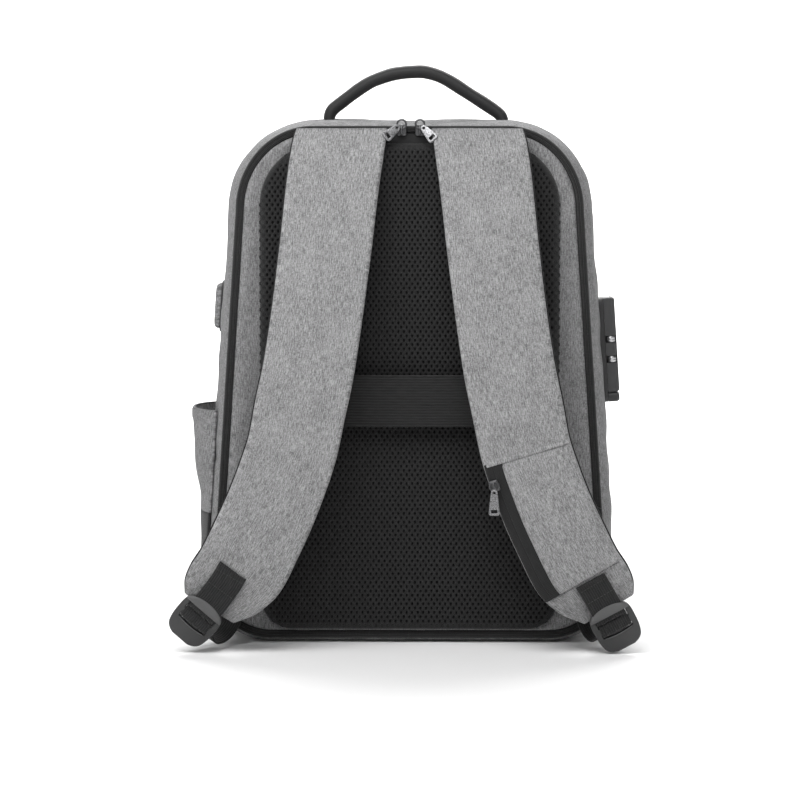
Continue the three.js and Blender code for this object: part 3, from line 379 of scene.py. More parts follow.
hub, hub_index = front_points[-1].mean(0), len(front_shares) * GUSSET_COLUMNS
last_ring = hub_index - GUSSET_COLUMNS
front_faces += [(last_ring + i, last_ring + (i + 1) % GUSSET_COLUMNS, hub_index)
                for i in range(GUSSET_COLUMNS)]
front_all = np.vstack((front_points.reshape(-1, 3), [hub]))
front_panel = add_mesh("front_cloth", front_all, front_faces, melange_grey)
set_grain(front_panel, front_all[:, 0], front_all[:, 2])
settle(front_panel, "melange", "front_panel")

# Main zip. A black reverse-coil zip set flush between two tapes, curving round the whole back seam. The
# outer tape is rolled over the gusset's edge, and a groove lies between the inner tape and the panel.
ZIP_WIDTH, ZIP_BACK, ZIP_RISE = 6.5, -59.3, 3.4
ZIP_SECTION = np.array([
    (0.02, 0.0), (-0.04, 0.35), (-0.02, 0.62), (0.07, 0.86), (0.2, 1.0), (0.34, 1.0), (0.42, 0.93),
    (0.45, 0.8), (0.48, 0.8), (0.51, 0.92), (0.6, 0.97), (0.7, 0.9), (0.8, 0.68), (0.88, 0.42),
    (0.98, 0.36), (1.04, 0.2),
])

tape_weave, given, result = pattern_group("tape weave", [
    ("Grain", "Vector", None),
    ("Light yarn", "Color", (0.05, 0.05, 0.05, 1)), ("Dark yarn", "Color", (0.02, 0.02, 0.02, 1)),
    ("Rib pitch", "Float", 1.5), ("Thread pitch", "Float", 0.8), ("Wear", "Float", 0.5),
], [("Colour", "Color"), ("Height", "Float")])
split = add_node(tape_weave, "ShaderNodeSeparateXYZ", {0: given["Grain"]}).outputs


def thread_wave(group, place, pitch, shift=0.0):
    """A smooth row of ridges at that pitch in millimetres, between 0 and 1."""
    turns = calculate(group, "DIVIDE", place, calculate(group, "MULTIPLY", pitch, MM))
    wave = calculate(group, "SINE", calculate(group, "MULTIPLY_ADD", turns, 2 * math.pi, shift))
    return calculate(group, "MULTIPLY_ADD", wave, 0.5, 0.5)


ribs = thread_wave(tape_weave, split[0], given["Rib pitch"])
picks = thread_wave(tape_weave, split[1], given["Thread pitch"], calculate(tape_weave, "MULTIPLY", ribs, 3.0))
# Colour follows the ridges: rib and pick tops take the light yarn as a painted highlight and grooves take the
# dark yarn as painted shade, with uneven tone from noise.
ridges = calculate(tape_weave, "ADD", calculate(tape_weave, "MULTIPLY", ribs, 0.65),
                   calculate(tape_weave, "MULTIPLY", picks, 0.35))
uneven = thread_noise(tape_weave, split[0], split[1], 2.5, 9.0)
ridge_highlight_and_tone = calculate(tape_weave, "MULTIPLY_ADD", uneven, given["Wear"], ridges, clamp=True)
tape_weave.links.new(mix_colours(tape_weave, ridge_highlight_and_tone, given["Dark yarn"], given["Light yarn"]),
                     result["Colour"])
tape_weave.links.new(ridges, result["Height"])


def woven_tape(name, light, dark, rib=1.5, pick=0.8, depth=0.0003, roughness=0.8, sheen=0.15, specular=0.25):
    """Black polyester or nylon tape with ribs along its length; its rib tops are painted lighter as a painted
    highlight and its grooves darker as painted shade.
    """
    finish, tree, shader = new_finish(name, light, roughness, specular=specular, sheen=sheen)
    threads = add_node(tree, "ShaderNodeGroup", {
        "Grain": grain_of(tree), "Light yarn": (*light, 1), "Dark yarn": (*dark, 1),
        "Rib pitch": rib, "Thread pitch": pick,
    }, node_tree=tape_weave)
    tree.links.new(threads.outputs["Colour"], shader.inputs["Base Color"])
    add_bump(tree, shader, threads.outputs["Height"], depth)
    return finish


zip_black = woven_tape("zip tape black", (0.026, 0.026, 0.0265), (0.0075, 0.0075, 0.0075), rib=1.05, pick=1.2)
ZIP_COLUMNS, ZIP_ROWS = 900, len(ZIP_SECTION)
zip_outline = seam_outline(ZIP_COLUMNS)
zip_points = np.stack([
    outline_at(zip_outline, ZIP_BACK - rise * ZIP_RISE, -inset * ZIP_WIDTH,
               base=-HEM_LIFT - inset * ZIP_WIDTH)
    for inset, rise in ZIP_SECTION
])
wander = ripples(zip_points[0], 90, 21) * 0.5 + ripples(zip_points[0], 38, 22) * 0.22
zip_points[9:, :, 0] += zip_outline[1][:, 0] * wander * np.linspace(0.3, 1.0, 7)[:, None]
zip_points[9:, :, 2] += zip_outline[1][:, 1] * wander * np.linspace(0.3, 1.0, 7)[:, None]
main_zip = add_mesh("zip_band", zip_points,
                    grid_faces(ZIP_ROWS, ZIP_COLUMNS, round_rows=True, round_columns=True), zip_black)
section_steps = np.linalg.norm(np.diff(ZIP_SECTION * (ZIP_WIDTH, ZIP_RISE), axis=0), axis=1)
section_walk = np.concatenate(([0], np.cumsum(section_steps)))
set_grain(main_zip, np.repeat(section_walk[:, None], ZIP_COLUMNS, axis=1),
          np.repeat(zip_outline[2][None, :], ZIP_ROWS, axis=0))
settle(main_zip, "black_trim", "main_zip")

# Back panel. The grey flap that the zip opens, thinly padded, so a soft roll stands along the zip and
# dips to the black cushion sewn in its middle.
PANEL_FACE, PAD_BACK, PAD_FACE = -61.4, -61.7, -68.7
PAD_HALF, PAD_BOTTOM, PAD_TOP, PAD_BOTTOM_RADIUS, PAD_TOP_RADIUS = 123.5, 12.0, 415.0, 26.0, 50.0
PANEL_ROWS = np.array([
    (0, -1.2), (0.03, 0.4), (0.1, 1.9), (0.25, 2.9), (0.45, 2.7), (0.7, 1.6), (0.9, 0.5),
    (1.0, 0.2), (1.3, 0.0),
])


def pad_edge_distance(across, up):
    """How far inside the cushion's rounded outline a point lies."""
    top = up > (PAD_BOTTOM + PAD_TOP) / 2
    radius = np.where(top, PAD_TOP_RADIUS, PAD_BOTTOM_RADIUS)
    reach = np.where(top, PAD_TOP - up, up - PAD_BOTTOM)
    sideways, endways = radius - (PAD_HALF - np.abs(across)), radius - reach
    corner = (sideways > 0) & (endways > 0)
    straight = np.minimum(PAD_HALF - np.abs(across), reach)
    return np.where(corner, radius - np.hypot(sideways, endways), straight)


PANEL_COLUMNS = 560
panel_outline = seam_outline(PANEL_COLUMNS)
panel_edge = outline_at(panel_outline, PANEL_FACE, -ZIP_WIDTH - 0.1, base=-HEM_LIFT - ZIP_WIDTH - 0.1)
panel_hub = np.array((0, PANEL_FACE, 215.0))
inward = np.linspace(0, 1, 400)[:, None, None]
walk = panel_edge[None] * (1 - inward) + panel_hub * inward
inside = pad_edge_distance(walk[:, :, 0], walk[:, :, 2]) > 0
meets = inside.argmax(axis=0) / 399.0
panel_shares = np.array([0, 0.03, 0.07, 0.12, 0.18, 0.26, 0.35, 0.45, 0.56, 0.68, 0.8, 0.92, 1.0, 1.15, 1.3])
panel_points = []
for share in panel_shares:
    ring = panel_edge * (1 - meets[:, None] * share) + panel_hub * (meets[:, None] * share)
    width = np.linalg.norm(panel_edge - panel_hub, axis=1) * meets
    rise = read_table(PANEL_ROWS, 1, share) * np.clip(width / 22, 0.15, 1.0)
    loose = ripples(ring * (1, 1, 0.8), 60, 31) * 0.45 + ripples(ring, 26, 32) * 0.16
    loose = loose * math.sin(math.pi * min(share, 1))
    ring[:, 1] = PANEL_FACE - rise + loose
    panel_points.append(ring)
panel_points = np.stack(panel_points)
back_panel = add_mesh("back_panel_cloth", panel_points,
                      grid_faces(len(panel_shares), PANEL_COLUMNS, round_columns=True), melange_grey)
set_grain(back_panel, panel_points[:, :, 0], panel_points[:, :, 2])
settle(back_panel, "melange", "back_panel")

# Mesh pad. The cushion against the wearer's back: foam under three-layer spacer mesh, whose outer
# layer is knitted with staggered upright holes. Its edge is turned under and sewn to the back panel.
# Painted shade: the holes' walls and bottoms are coloured nearly black to stand for the shade inside them.
HOLE_PITCH, ROW_PITCH, HOLE_HALF, HOLE_RISE, HOLE_DEPTH = 4.6, 3.6, 1.2, 1.75, 1.9
PAD_ROUNDING = np.array([(0, 0.4), (1.2, 0.62), (2.5, 0.78), (5, 0.93), (9, 1.0), (14, 1.0)])


def pad_surface(across, up):
    """Depth of the cushion's face, which rounds off towards its edge."""
    share = read_table(PAD_ROUNDING, 1, np.clip(pad_edge_distance(across, up), 0, 14))
    return PAD_BACK - (PAD_BACK - PAD_FACE) * share


knit_and_hole_shade, given, result = pattern_group("knitted mesh", [
    ("Light yarn", "Color", (0.06, 0.06, 0.06, 1)), ("Dark yarn", "Color", (0.01, 0.01, 0.01, 1)),
    ("Grain", "Vector", None), ("Hole shade", "Float", 0.0),
], [("Colour", "Color"), ("Height", "Float")])
split = add_node(knit_and_hole_shade, "ShaderNodeSeparateXYZ", {0: given["Grain"]}).outputs
loops = thread_noise(knit_and_hole_shade, split[0], split[1], 0.35, 0.6)
loops = calculate(knit_and_hole_shade, "MULTIPLY_ADD", loops, 1.4, 0.55)
# The hole mask darkens the knit towards the dark yarn: painted shade in the holes, on top of the uneven
# loops.
hole_unshaded = calculate(knit_and_hole_shade, "SUBTRACT", 1.0, given["Hole shade"])
lit = calculate(knit_and_hole_shade, "MULTIPLY", loops, calculate(knit_and_hole_shade, "POWER", hole_unshaded, 1.5), clamp=True)
knit_and_hole_shade.links.new(mix_colours(knit_and_hole_shade, lit, given["Dark yarn"], given["Light yarn"]), result["Colour"])
knit_and_hole_shade.links.new(loops, result["Height"])
mesh_black, tree, shader = new_finish("spacer mesh black", (0.05, 0.05, 0.05), 0.85, specular=0.2, sheen=0.2)
# The per-point hole mask feeds painted shade into the knit's colour.
knit = add_node(tree, "ShaderNodeGroup", {
    "Grain": grain_of(tree),
    "Light yarn": (0.031, 0.031, 0.0315, 1), "Dark yarn": (0.0025, 0.0025, 0.0025, 1),
    "Hole shade": add_node(tree, "ShaderNodeAttribute", attribute_name="hole_shade").outputs["Fac"],
}, node_tree=knit_and_hole_shade)
tree.links.new(knit.outputs["Colour"], shader.inputs["Base Color"])
add_bump(tree, shader, knit.outputs["Height"], 0.0002)

columns, rows = int(2 * PAD_HALF / HOLE_PITCH) + 3, int((PAD_TOP - PAD_BOTTOM) / ROW_PITCH) + 3
tall = ROW_PITCH / 2 + HOLE_PITCH**2 / (8 * ROW_PITCH)
short = ROW_PITCH / 2 - HOLE_PITCH**2 / (8 * ROW_PITCH)
half = HOLE_PITCH / 2
hexagon = np.array([(0, tall), (half, short), (half, -short), (0, -tall), (-half, -short), (-half, short)])
oval = np.array([(0, 1), (0.86, 0.5), (0.86, -0.5), (0, -1), (-0.86, -0.5), (-0.86, 0.5)])
oval = oval * (HOLE_HALF, HOLE_RISE)
c, r = np.meshgrid(np.arange(columns) - (columns - 1) / 2, np.arange(rows))
centres = np.c_[(c + 0.5 * (r % 2)).ravel() * HOLE_PITCH, PAD_BOTTOM + r.ravel() * ROW_PITCH]
centres = centres[pad_edge_distance(centres[:, 0], centres[:, 1]) > 1.6]
cell_corners = (centres[:, None] + hexagon).reshape(-1, 2)
corner_keys, corner_index = np.unique(np.round(cell_corners, 2), axis=0, return_inverse=True)
corner_index = corner_index.reshape(-1, 6)
outer_ring = (centres[:, None] + oval).reshape(-1, 2)
inner_ring = (centres[:, None] + oval * 0.72).reshape(-1, 2)
flat_points = np.vstack((corner_keys, outer_ring, inner_ring, centres))
sunk = np.concatenate((np.zeros(len(corner_keys)), np.full(len(outer_ring), 0.35),
                       np.full(len(inner_ring), HOLE_DEPTH), np.full(len(centres), HOLE_DEPTH)))
# Painted shade mask: 0 on the strands, 0.12 at each hole's rim, 1 on its walls and bottom.
hole_shade = np.concatenate((np.zeros(len(corner_keys)), np.full(len(outer_ring), 0.12),
                      np.ones(len(inner_ring)), np.ones(len(centres))))
edge_gap = pad_edge_distance(flat_points[:, 0], flat_points[:, 1])
sunk *= np.clip(edge_gap / 4, 0.15, 1)
knit_loose = ripples(np.c_[flat_points[:, 0], np.zeros(len(flat_points)), flat_points[:, 1]], 85, 41) * 0.5
pad_points = np.c_[flat_points[:, 0], pad_surface(flat_points[:, 0], flat_points[:, 1]) + sunk
                   + knit_loose * np.clip(edge_gap / 14, 0, 1), flat_points[:, 1]]
pad_faces, first_outer = [], len(corner_keys)
first_inner = first_outer + len(outer_ring)
first_centre = first_inner + len(inner_ring)
for cell in range(len(centres)):
    for k in range(6):
        n = (k + 1) % 6
        a, b = first_outer + cell * 6 + k, first_outer + cell * 6 + n
        d, e = first_inner + cell * 6 + k, first_inner + cell * 6 + n
        pad_faces.append((int(corner_index[cell, k]), int(corner_index[cell, n]), b, a))
        pad_faces.append((a, b, e, d))
        pad_faces.append((d, e, first_centre + cell))
mesh_pad = add_mesh("mesh_pad_knit", pad_points, pad_faces, mesh_black)
set_grain(mesh_pad, flat_points[:, 0], flat_points[:, 1])
mesh_pad.data.attributes.new("hole_shade", "FLOAT", "POINT").data.foreach_set("value", hole_shade.astype(np.float32))
settle(mesh_pad, "spacer_mesh", "mesh_pad")

pad_turns = np.linspace(0, 2 * math.pi, 721)[:-1]


def pad_loop(gap, depth):
    """A ring at one distance inside the cushion's outline."""
    reach = np.linspace(0, 320, 3201)
    ring = []
    for turn in pad_turns:
        across, up = reach * math.cos(turn), (PAD_BOTTOM + PAD_TOP) / 2 + reach * math.sin(turn)
        inside = pad_edge_distance(across, up) > gap
        last = np.nonzero(inside)[0][-1]
        ring.append((across[last], depth, up[last]))
    return np.array(ring)


rim_rows = [(0.0, PAD_BACK), (-0.35, PAD_BACK - 1.2), (0.1, PAD_BACK - 2.9), (1.2, PAD_BACK - 4.0),
            (2.6, PAD_BACK - 5.0), (4.2, PAD_BACK - 5.45)]
rim_points = np.stack([pad_loop(gap, depth) for gap, depth in rim_rows])
pad_rim = add_mesh("mesh_pad_rim", rim_points, grid_faces(len(rim_rows), 720, round_columns=True), mesh_black)
set_grain(pad_rim, rim_points[:, :, 0], rim_points[:, :, 2])
settle(pad_rim, "spacer_mesh")

# Yoke strip. A narrow black tape that hides the strap tops' seam, between the zip and the cushion.
YOKE_HALF, YOKE_LOW, YOKE_HIGH = 96.0, 414.6, 423.2


def end_faces(rows, columns):
    """The two end faces of a closed tube of points."""
    return [tuple(range(columns)), tuple(reversed(range((rows - 1) * columns, rows * columns)))]


def sweep_ribbon(name, course, across, width, thickness, finish, edge=0.25, steps=12):
    """A tape with rounded edges along a course of points, square to its direction of width."""
    course, across = np.asarray(course, float), np.asarray(across, float)
    along = np.gradient(course, axis=0)
    along /= np.linalg.norm(along, axis=1)[:, None]
    across = across - (across * along).sum(1)[:, None] * along
    across /= np.linalg.norm(across, axis=1)[:, None]
    face = np.cross(along, across)
    spread = np.linspace(-1, 1, steps + 1)
    edge = edge / np.mean(width)
    section = np.concatenate((
        np.c_[spread * (1 - edge), np.ones(steps + 1)], [(1, 0.35), (1, -0.35)],
        np.c_[-spread * (1 - edge), -np.ones(steps + 1)], [(-1, -0.35), (-1, 0.35)],
    ))
    width, thickness = np.broadcast_to(width, len(course)), np.broadcast_to(thickness, len(course))
    points = (course[:, None] + across[:, None] * section[None, :, :1] * width[:, None, None] / 2
              + face[:, None] * section[None, :, 1:] * thickness[:, None, None] / 2)
    count = len(section)
    faces = grid_faces(len(course), count, round_columns=True) + end_faces(len(course), count)
    made = add_mesh(name, points, faces, finish)
    walk = np.concatenate(([0], np.cumsum(np.linalg.norm(np.diff(course, axis=0), axis=1))))
    set_grain(made, section[None, :, 0] * width[:, None] / 2, np.repeat(walk[:, None], count, axis=1))
    return made


def smooth_course(points, count):
    """Evenly spaced points on a smooth curve through the given ones."""
    points = np.asarray(points, float)
    walk = np.concatenate(([0], np.cumsum(np.linalg.norm(np.diff(points, axis=0), axis=1))))
    rows = np.c_[walk, points]
    at = np.linspace(0, walk[-1], count)
    return np.stack([read_table(rows, column, at) for column in range(1, points.shape[1] + 1)], axis=1)


edge_black = woven_tape("edge tape black", (0.024, 0.024, 0.0245), (0.008, 0.008, 0.008), rib=1.0, pick=1.0)
yoke_course = np.c_[np.linspace(-YOKE_HALF, YOKE_HALF, 60), np.full(60, PAD_BACK - 0.75),
                    np.full(60, (YOKE_LOW + YOKE_HIGH) / 2)]
yoke_strip = sweep_ribbon("yoke_tape", yoke_course, np.tile((0, 0, 1.0), (60, 1)), YOKE_HIGH - YOKE_LOW, 1.3,
                          edge_black)
settle(yoke_strip, "black_trim", "yoke_strip")

# Shoulder straps. Foam pads covered in the grey melange, turned over at the edges, with a black mesh lining
# bound to their inner side. They leave the top seam, stand off the back and end in a chamfered point.
STRAP_TOP, STRAP_END, STRAP_TOP_OUT, STRAP_SPREAD, STRAP_STAND = 426.0, 34.0, 55.5, 102.0, 58.0
STRAP_WIDTH, STRAP_THICKNESS, STRAP_LEVELLED, PAD_LIFT = 75.0, 9.0, 0.1, 2.1
STRAP_ROWS = np.array([
    (0, 0, 0.095, 1, 1, 0.38), (0.044, 0.032, 0.2, 1.01, 1.01, 0.75), (0.111, 0.069, 0.3, 1.01, 1.01, 1),
    (0.245, 0.125, 0.53, 1, 1, 1), (0.374, 0.186, 0.72, 0.99, 0.99, 1), (0.493, 0.254, 0.85, 0.99, 0.99, 1),
    (0.574, 0.319, 0.915, 0.99, 0.99, 1), (0.653, 0.38, 0.955, 0.98, 0.98, 1),
    (0.711, 0.451, 0.98, 0.98, 0.98, 1), (0.78, 0.553, 1, 0.98, 0.98, 1), (0.845, 0.667, 1, 0.98, 0.98, 1),
    (0.909, 0.789, 0.985, 0.97, 0.98, 0.95), (0.948, 0.875, 0.955, 0.84, 1, 0.82),
    (0.977, 0.946, 0.92, 0.66, 0.94, 0.5), (1, 1, 0.895, 0.46, 0.78, 0.28),
])


def unit(vectors):
    return vectors / np.linalg.norm(vectors, axis=-1, keepdims=True)


def strap_centre(side, share):
    return np.stack((
        side * (STRAP_TOP_OUT + STRAP_SPREAD * read_table(STRAP_ROWS, 1, share)),
        BACK_Y - STRAP_STAND * read_table(STRAP_ROWS, 2, share),
        STRAP_TOP + (STRAP_END - STRAP_TOP) * share,
    ), axis=-1)


def strap_course(side, share):
    """Places, directions, inner and outer half widths and thicknesses of a strap at shares of its drop."""
    share = np.atleast_1d(np.asarray(share, float))
    before, after = np.maximum(share - 0.004, 0), np.minimum(share + 0.004, 1)
    along = unit(strap_centre(side, after) - strap_centre(side, before))
    level = np.maximum(1 - share / STRAP_LEVELLED, 0)[:, None]
    across = unit(unit(-np.cross(along, (0, -side, 0))) * (1 - level) + np.array((side, 0, 0)) * level)
    outward = unit(-side * np.cross(across, along))
    halves = STRAP_WIDTH / 2 * np.stack([read_table(STRAP_ROWS, column, share) for column in (3, 4)], axis=1)
    return strap_centre(side, share), across, outward, halves, read_table(STRAP_ROWS, 5, share), along


def strap_place(course, spread, lift):
    """Points at a share of the half width and a lift, both given for each row and column."""
    centre, across, outward, halves = course[:4]
    reach = spread * np.where(spread < 0, halves[:, :1], halves[:, 1:])
    return centre[:, None] + across[:, None] * reach[:, :, None] + outward[:, None] * lift[:, :, None]


strap_grey = melange_cloth("strap melange", (0.4, 0.4, 0.403), (0.14, 0.14, 0.142))
strap_shares = np.concatenate((np.linspace(0, 0.91, 116)[:-1], np.linspace(0.91, 1, 34)))
strap_walk = (STRAP_TOP - STRAP_END) * strap_shares
tab_middle = 0.2
for side, name in ((-1, "left"), (1, "right")):
    course = strap_course(side, strap_shares)
    thick = STRAP_THICKNESS * course[4]
    face_spread = np.linspace(-1, 1, 27)
    arc = np.linspace(0, math.pi, 11)[1:-1]
    rows = []
    for halves, tall in zip(course[3], thick):
        radius = min(3.6, tall * 0.48)
        flat_in, flat_out = 1 - radius / halves
        front = np.c_[face_spread * np.where(face_spread < 0, flat_in, flat_out), np.full(27, tall)]
        outer = np.c_[flat_out + (1 - flat_out) * np.sin(arc), tall / 2 + tall / 2 * np.cos(arc)]
        back = np.c_[np.linspace(flat_out, -flat_in, 7), np.zeros(7)]
        inner = np.c_[-flat_in - (1 - flat_in) * np.sin(arc[::-1]), outer[::-1, 1]]
        rows.append(np.vstack((front, outer, back, inner)))
    section = np.stack(rows)
    spread, rise = section[:, :, 0], section[:, :, 1]
    points = strap_place(course, spread, PAD_LIFT + rise)
    facing = rise / np.maximum(thick[:, None], 1)
    loose = (ripples((points * (1, 1, 0.7)).reshape(-1, 3), 70, 50 + side) * 0.45
             + ripples((points * (1, 1, 1.6)).reshape(-1, 3), 27, 60 + side) * 0.17).reshape(facing.shape)
    crown = 0.75 * (1 - spread**2) * np.clip(strap_shares / 0.1, 0, 1)[:, None]
    near_tab = np.exp(-((strap_shares[:, None] - 0.945) / 0.028)**2 - ((spread - tab_middle) / 0.45)**2)
    points += course[2][:, None] * ((loose + crown - 1.3 * near_tab) * facing)[:, :, None]
    strap_rows, count = section.shape[:2]
    cloth_faces = grid_faces(strap_rows, count, round_columns=True) + end_faces(strap_rows, count)
    strap = add_mesh("strap_cloth_" + name, points, cloth_faces, strap_grey)
    across_cloth = spread * course[3][:, 1:] + (facing - 1) * STRAP_THICKNESS * np.sign(spread)
    set_grain(strap, across_cloth + 300 * side, np.repeat(strap_walk[:, None], count, axis=1))
    settle(strap, "melange", "shoulder_strap_" + name)

    lining_section = np.array([
        (-0.97, 0.2), (-0.985, 0.9), (-0.97, 1.7), (0, 1.8), (0.97, 1.8), (1.005, 2.6), (1.022, 3.2),
        (1.032, 2.4), (1.03, 1.2), (1.01, 0.3), (0.97, 0.0), (0.5, 0.0), (0, 0.0), (-0.5, 0.0),
    ])
    count = len(lining_section)
    lining_spread = np.repeat(lining_section[None, :, 0], strap_rows, axis=0)
    lining_lift = np.repeat(lining_section[None, :, 1], strap_rows, axis=0)
    lining_points = strap_place(course, lining_spread, lining_lift)
    lining_faces = grid_faces(strap_rows, count, round_columns=True) + end_faces(strap_rows, count)
    lining = add_mesh("strap_lining_" + name, lining_points, lining_faces, edge_black)
    set_grain(lining, lining_spread * 37, np.repeat(strap_walk[:, None], count, axis=1))
    settle(lining, "spacer_mesh", "strap_backing_" + name)

# Strap pocket. A flat zipped pocket on the right strap: a grey panel whose inner edge is folded along a
# black zip band, a folded seam above it and a plain seam below it.
POCKET_FROM, POCKET_TO, PANEL_INNER, BAND_THICK, CLOTH_GAP = 0.667, 0.929, -0.6, 1.6, 0.5


def strap_layer(name, side, shares, spreads, lift, finish, seed=0, wave=0.0):
    """A closed cloth layer on a strap's face; lift gives its height above the face at (row, column)."""
    course = strap_course(side, shares)
    face = PAD_LIFT + STRAP_THICKNESS * course[4]
    spread = np.repeat(spreads[None], len(shares), axis=0)
    top = face[:, None] + lift
    points = strap_place(course, spread, top)
    if wave:
        loose = ripples(points.reshape(-1, 3), 34, seed).reshape(lift.shape) * wave
        points += course[2][:, None] * (loose * np.clip(lift - 1, 0, 1))[:, :, None]
    under = strap_place(course, spread, np.minimum(face[:, None] - 0.4, top - 0.3) + 0 * lift)
    rows, columns = lift.shape
    everything = np.concatenate((points, under[:, ::-1]), axis=1)
    faces = grid_faces(rows, 2 * columns, round_columns=True) + end_faces(rows, 2 * columns)
    made = add_mesh(name, everything, faces, finish)
    grain_across = np.repeat((spreads * 37)[None], rows, axis=0)
    walk = np.repeat(((STRAP_TOP - STRAP_END) * shares)[:, None], 2 * columns, axis=1)
    set_grain(made, np.concatenate((grain_across, grain_across[:, ::-1]), axis=1) + 300, walk)
    return made


pocket_shares = np.concatenate((
    [POCKET_FROM, POCKET_FROM + 0.001], np.linspace(POCKET_FROM + 0.004, POCKET_TO - 0.004, 50),
    [POCKET_TO - 0.001, POCKET_TO],
))
pocket_spreads = np.concatenate(([PANEL_INNER - 0.005, PANEL_INNER, PANEL_INNER + 0.02],
                                 np.linspace(PANEL_INNER + 0.05, 0.9, 22), [0.94, 0.97, 0.99]))
panel_lift_at = [PANEL_INNER + gap for gap in (-0.005, 0, 0.02, 0.08)] + [0.3, 0.85, 0.94, 0.99]
panel_lift = np.interp(pocket_spreads, panel_lift_at, [1.2, 2.9, 3.9, 3.6, 4.0, 3.2, 1.6, 0.0])
fade_at = [POCKET_FROM, POCKET_FROM + 0.02, POCKET_TO - 0.012, POCKET_TO - 0.001, POCKET_TO]
end_fade = np.interp(pocket_shares, fade_at, [0.35, 1, 1, 0.75, 0.1])
pocket_panel = strap_layer("strap_pocket_cloth", 1, pocket_shares, pocket_spreads,
                           panel_lift[None] * end_fade[:, None], strap_grey, seed=71, wave=0.16)
settle(pocket_panel, "melange", "strap_pocket")

band_spreads = np.concatenate(([-0.985, -0.97, -0.94], np.linspace(-0.92, -0.84, 5), [-0.825, -0.81, -0.795],
                               np.linspace(-0.78, PANEL_INNER + 0.02, 6)))
band_lift = np.interp(band_spreads, [-0.985, -0.97, -0.94, -0.84, -0.825, -0.81, -0.795, -0.77, -0.5],
                      [0.4, 1.3, 1.8, 2.1, 1.8, 1.5, 1.9, 2.2, 2.2])
band_shares = np.linspace(POCKET_FROM - 0.001, POCKET_TO, 60)
pocket_zip = strap_layer("strap_pocket_zip_tape", 1, band_shares, band_spreads,
                         np.repeat(band_lift[None], 60, axis=0), edge_black)
settle(pocket_zip, "black_trim", "strap_pocket_zip")

lip_shares = np.linspace(POCKET_FROM - 0.012, POCKET_FROM + 0.004, 12)
lip_spreads = np.linspace(-0.985, 0.985, 40)
lip_shape = np.interp(np.linspace(0, 1, 12), [0, 0.1, 0.28, 0.38, 0.5, 0.85, 1],
                      [0.15, 0.75, 0.85, 0.45, 2.1, 3.1, 2.6])
lip_side = np.interp(np.abs(lip_spreads), [0, 0.88, 0.96, 1], [1, 1, 0.45, 0.0])
pocket_lip = strap_layer("strap_pocket_lip", 1, lip_shares, lip_spreads, lip_shape[:, None] * lip_side[None],
                         strap_grey)
settle(pocket_lip, "melange")

hem_shares = np.linspace(POCKET_TO - 0.001, POCKET_TO + 0.006, 6)
hem_shape = np.array([0.2, 0.2, 0.9, 1.15, 0.8, 0.0])
pocket_hem = strap_layer("strap_pocket_seam", 1, hem_shares, lip_spreads, hem_shape[:, None] * lip_side[None],
                         strap_grey)
settle(pocket_hem, "melange")

# Zip sliders. Two dark cast sliders meet at the top of the main zip. Each has a wire ring through its bridge
# and a pewter pull tab that widens to a slotted end and lies on the strap beside it.
ZIP_FACE, SLIDER_Z = -62.7, 426.25
slider_metal, tree, shader = new_finish("slider gunmetal", (0.12, 0.12, 0.123), 0.38, metallic=0.9)
pewter, tree, shader = new_finish("pull tab pewter", (0.42, 0.42, 0.425), 0.42, metallic=0.85)
speckle = add_node(tree, "ShaderNodeTexNoise", {"Scale": 2600.0, "Detail": 3.0})
mottled = calculate(tree, "MULTIPLY_ADD", speckle.outputs[0], 2.6, -0.8, clamp=True)
tree.links.new(mix_colours(tree, mottled, (0.09, 0.09, 0.093, 1), (0.42, 0.42, 0.43, 1)),
               shader.inputs["Base Color"])
add_bump(tree, shader, speckle.outputs[0], 0.00012)


def place_frame(origin, right, up, outward):
    """The matrix that puts a flat shape's own axes at a place in the bag."""
    columns = [Vector(axis) for axis in (right, up, outward)]
    matrix = Matrix.Identity(4)
    for i, axis in enumerate(columns):
        matrix.col[i][:3] = axis
    matrix.col[3][:3] = Vector(origin) * MM
    return matrix


def add_plate(name, outline, holes, thickness, bevel, finish, matrix, rounds=2):
    """A flat part with eased edges, cut from an outline with holes."""
    curve = bpy.data.curves.new(name, "CURVE")
    curve.dimensions, curve.fill_mode = "2D", "BOTH"
    curve.extrude, curve.bevel_depth = (thickness / 2 - bevel) * MM, bevel * MM
    curve.bevel_resolution, curve.offset = rounds, -bevel * MM
    for loop in (outline, *holes):
        spline = curve.splines.new("POLY")
        spline.points.add(len(loop) - 1)
        flat = np.c_[np.asarray(loop, float) * MM, np.zeros(len(loop)), np.ones(len(loop))]
        spline.points.foreach_set("co", flat.ravel())
        spline.use_cyclic_u = True
    cutter = bpy.data.objects.new(name, curve)
    bpy.context.scene.collection.objects.link(cutter)
    mesh = bpy.data.meshes.new_from_object(cutter.evaluated_get(bpy.context.evaluated_depsgraph_get()))
    bpy.data.objects.remove(cutter)
    bpy.data.curves.remove(curve)
    welded = bmesh.new()
    welded.from_mesh(mesh)
    bmesh.ops.remove_doubles(welded, verts=welded.verts, dist=1e-6)
    bmesh.ops.recalc_face_normals(welded, faces=welded.faces)
    welded.to_mesh(mesh)
    welded.free()
    mesh.transform(matrix)
    mesh.materials.clear()
    mesh.materials.append(finish)
    mesh.polygons.foreach_set("use_smooth", [True] * len(mesh.polygons))
    mesh.set_sharp_from_angle(angle=math.radians(32))
    made = bpy.data.objects.new(name, mesh)
    bpy.context.scene.collection.objects.link(made)
    return made


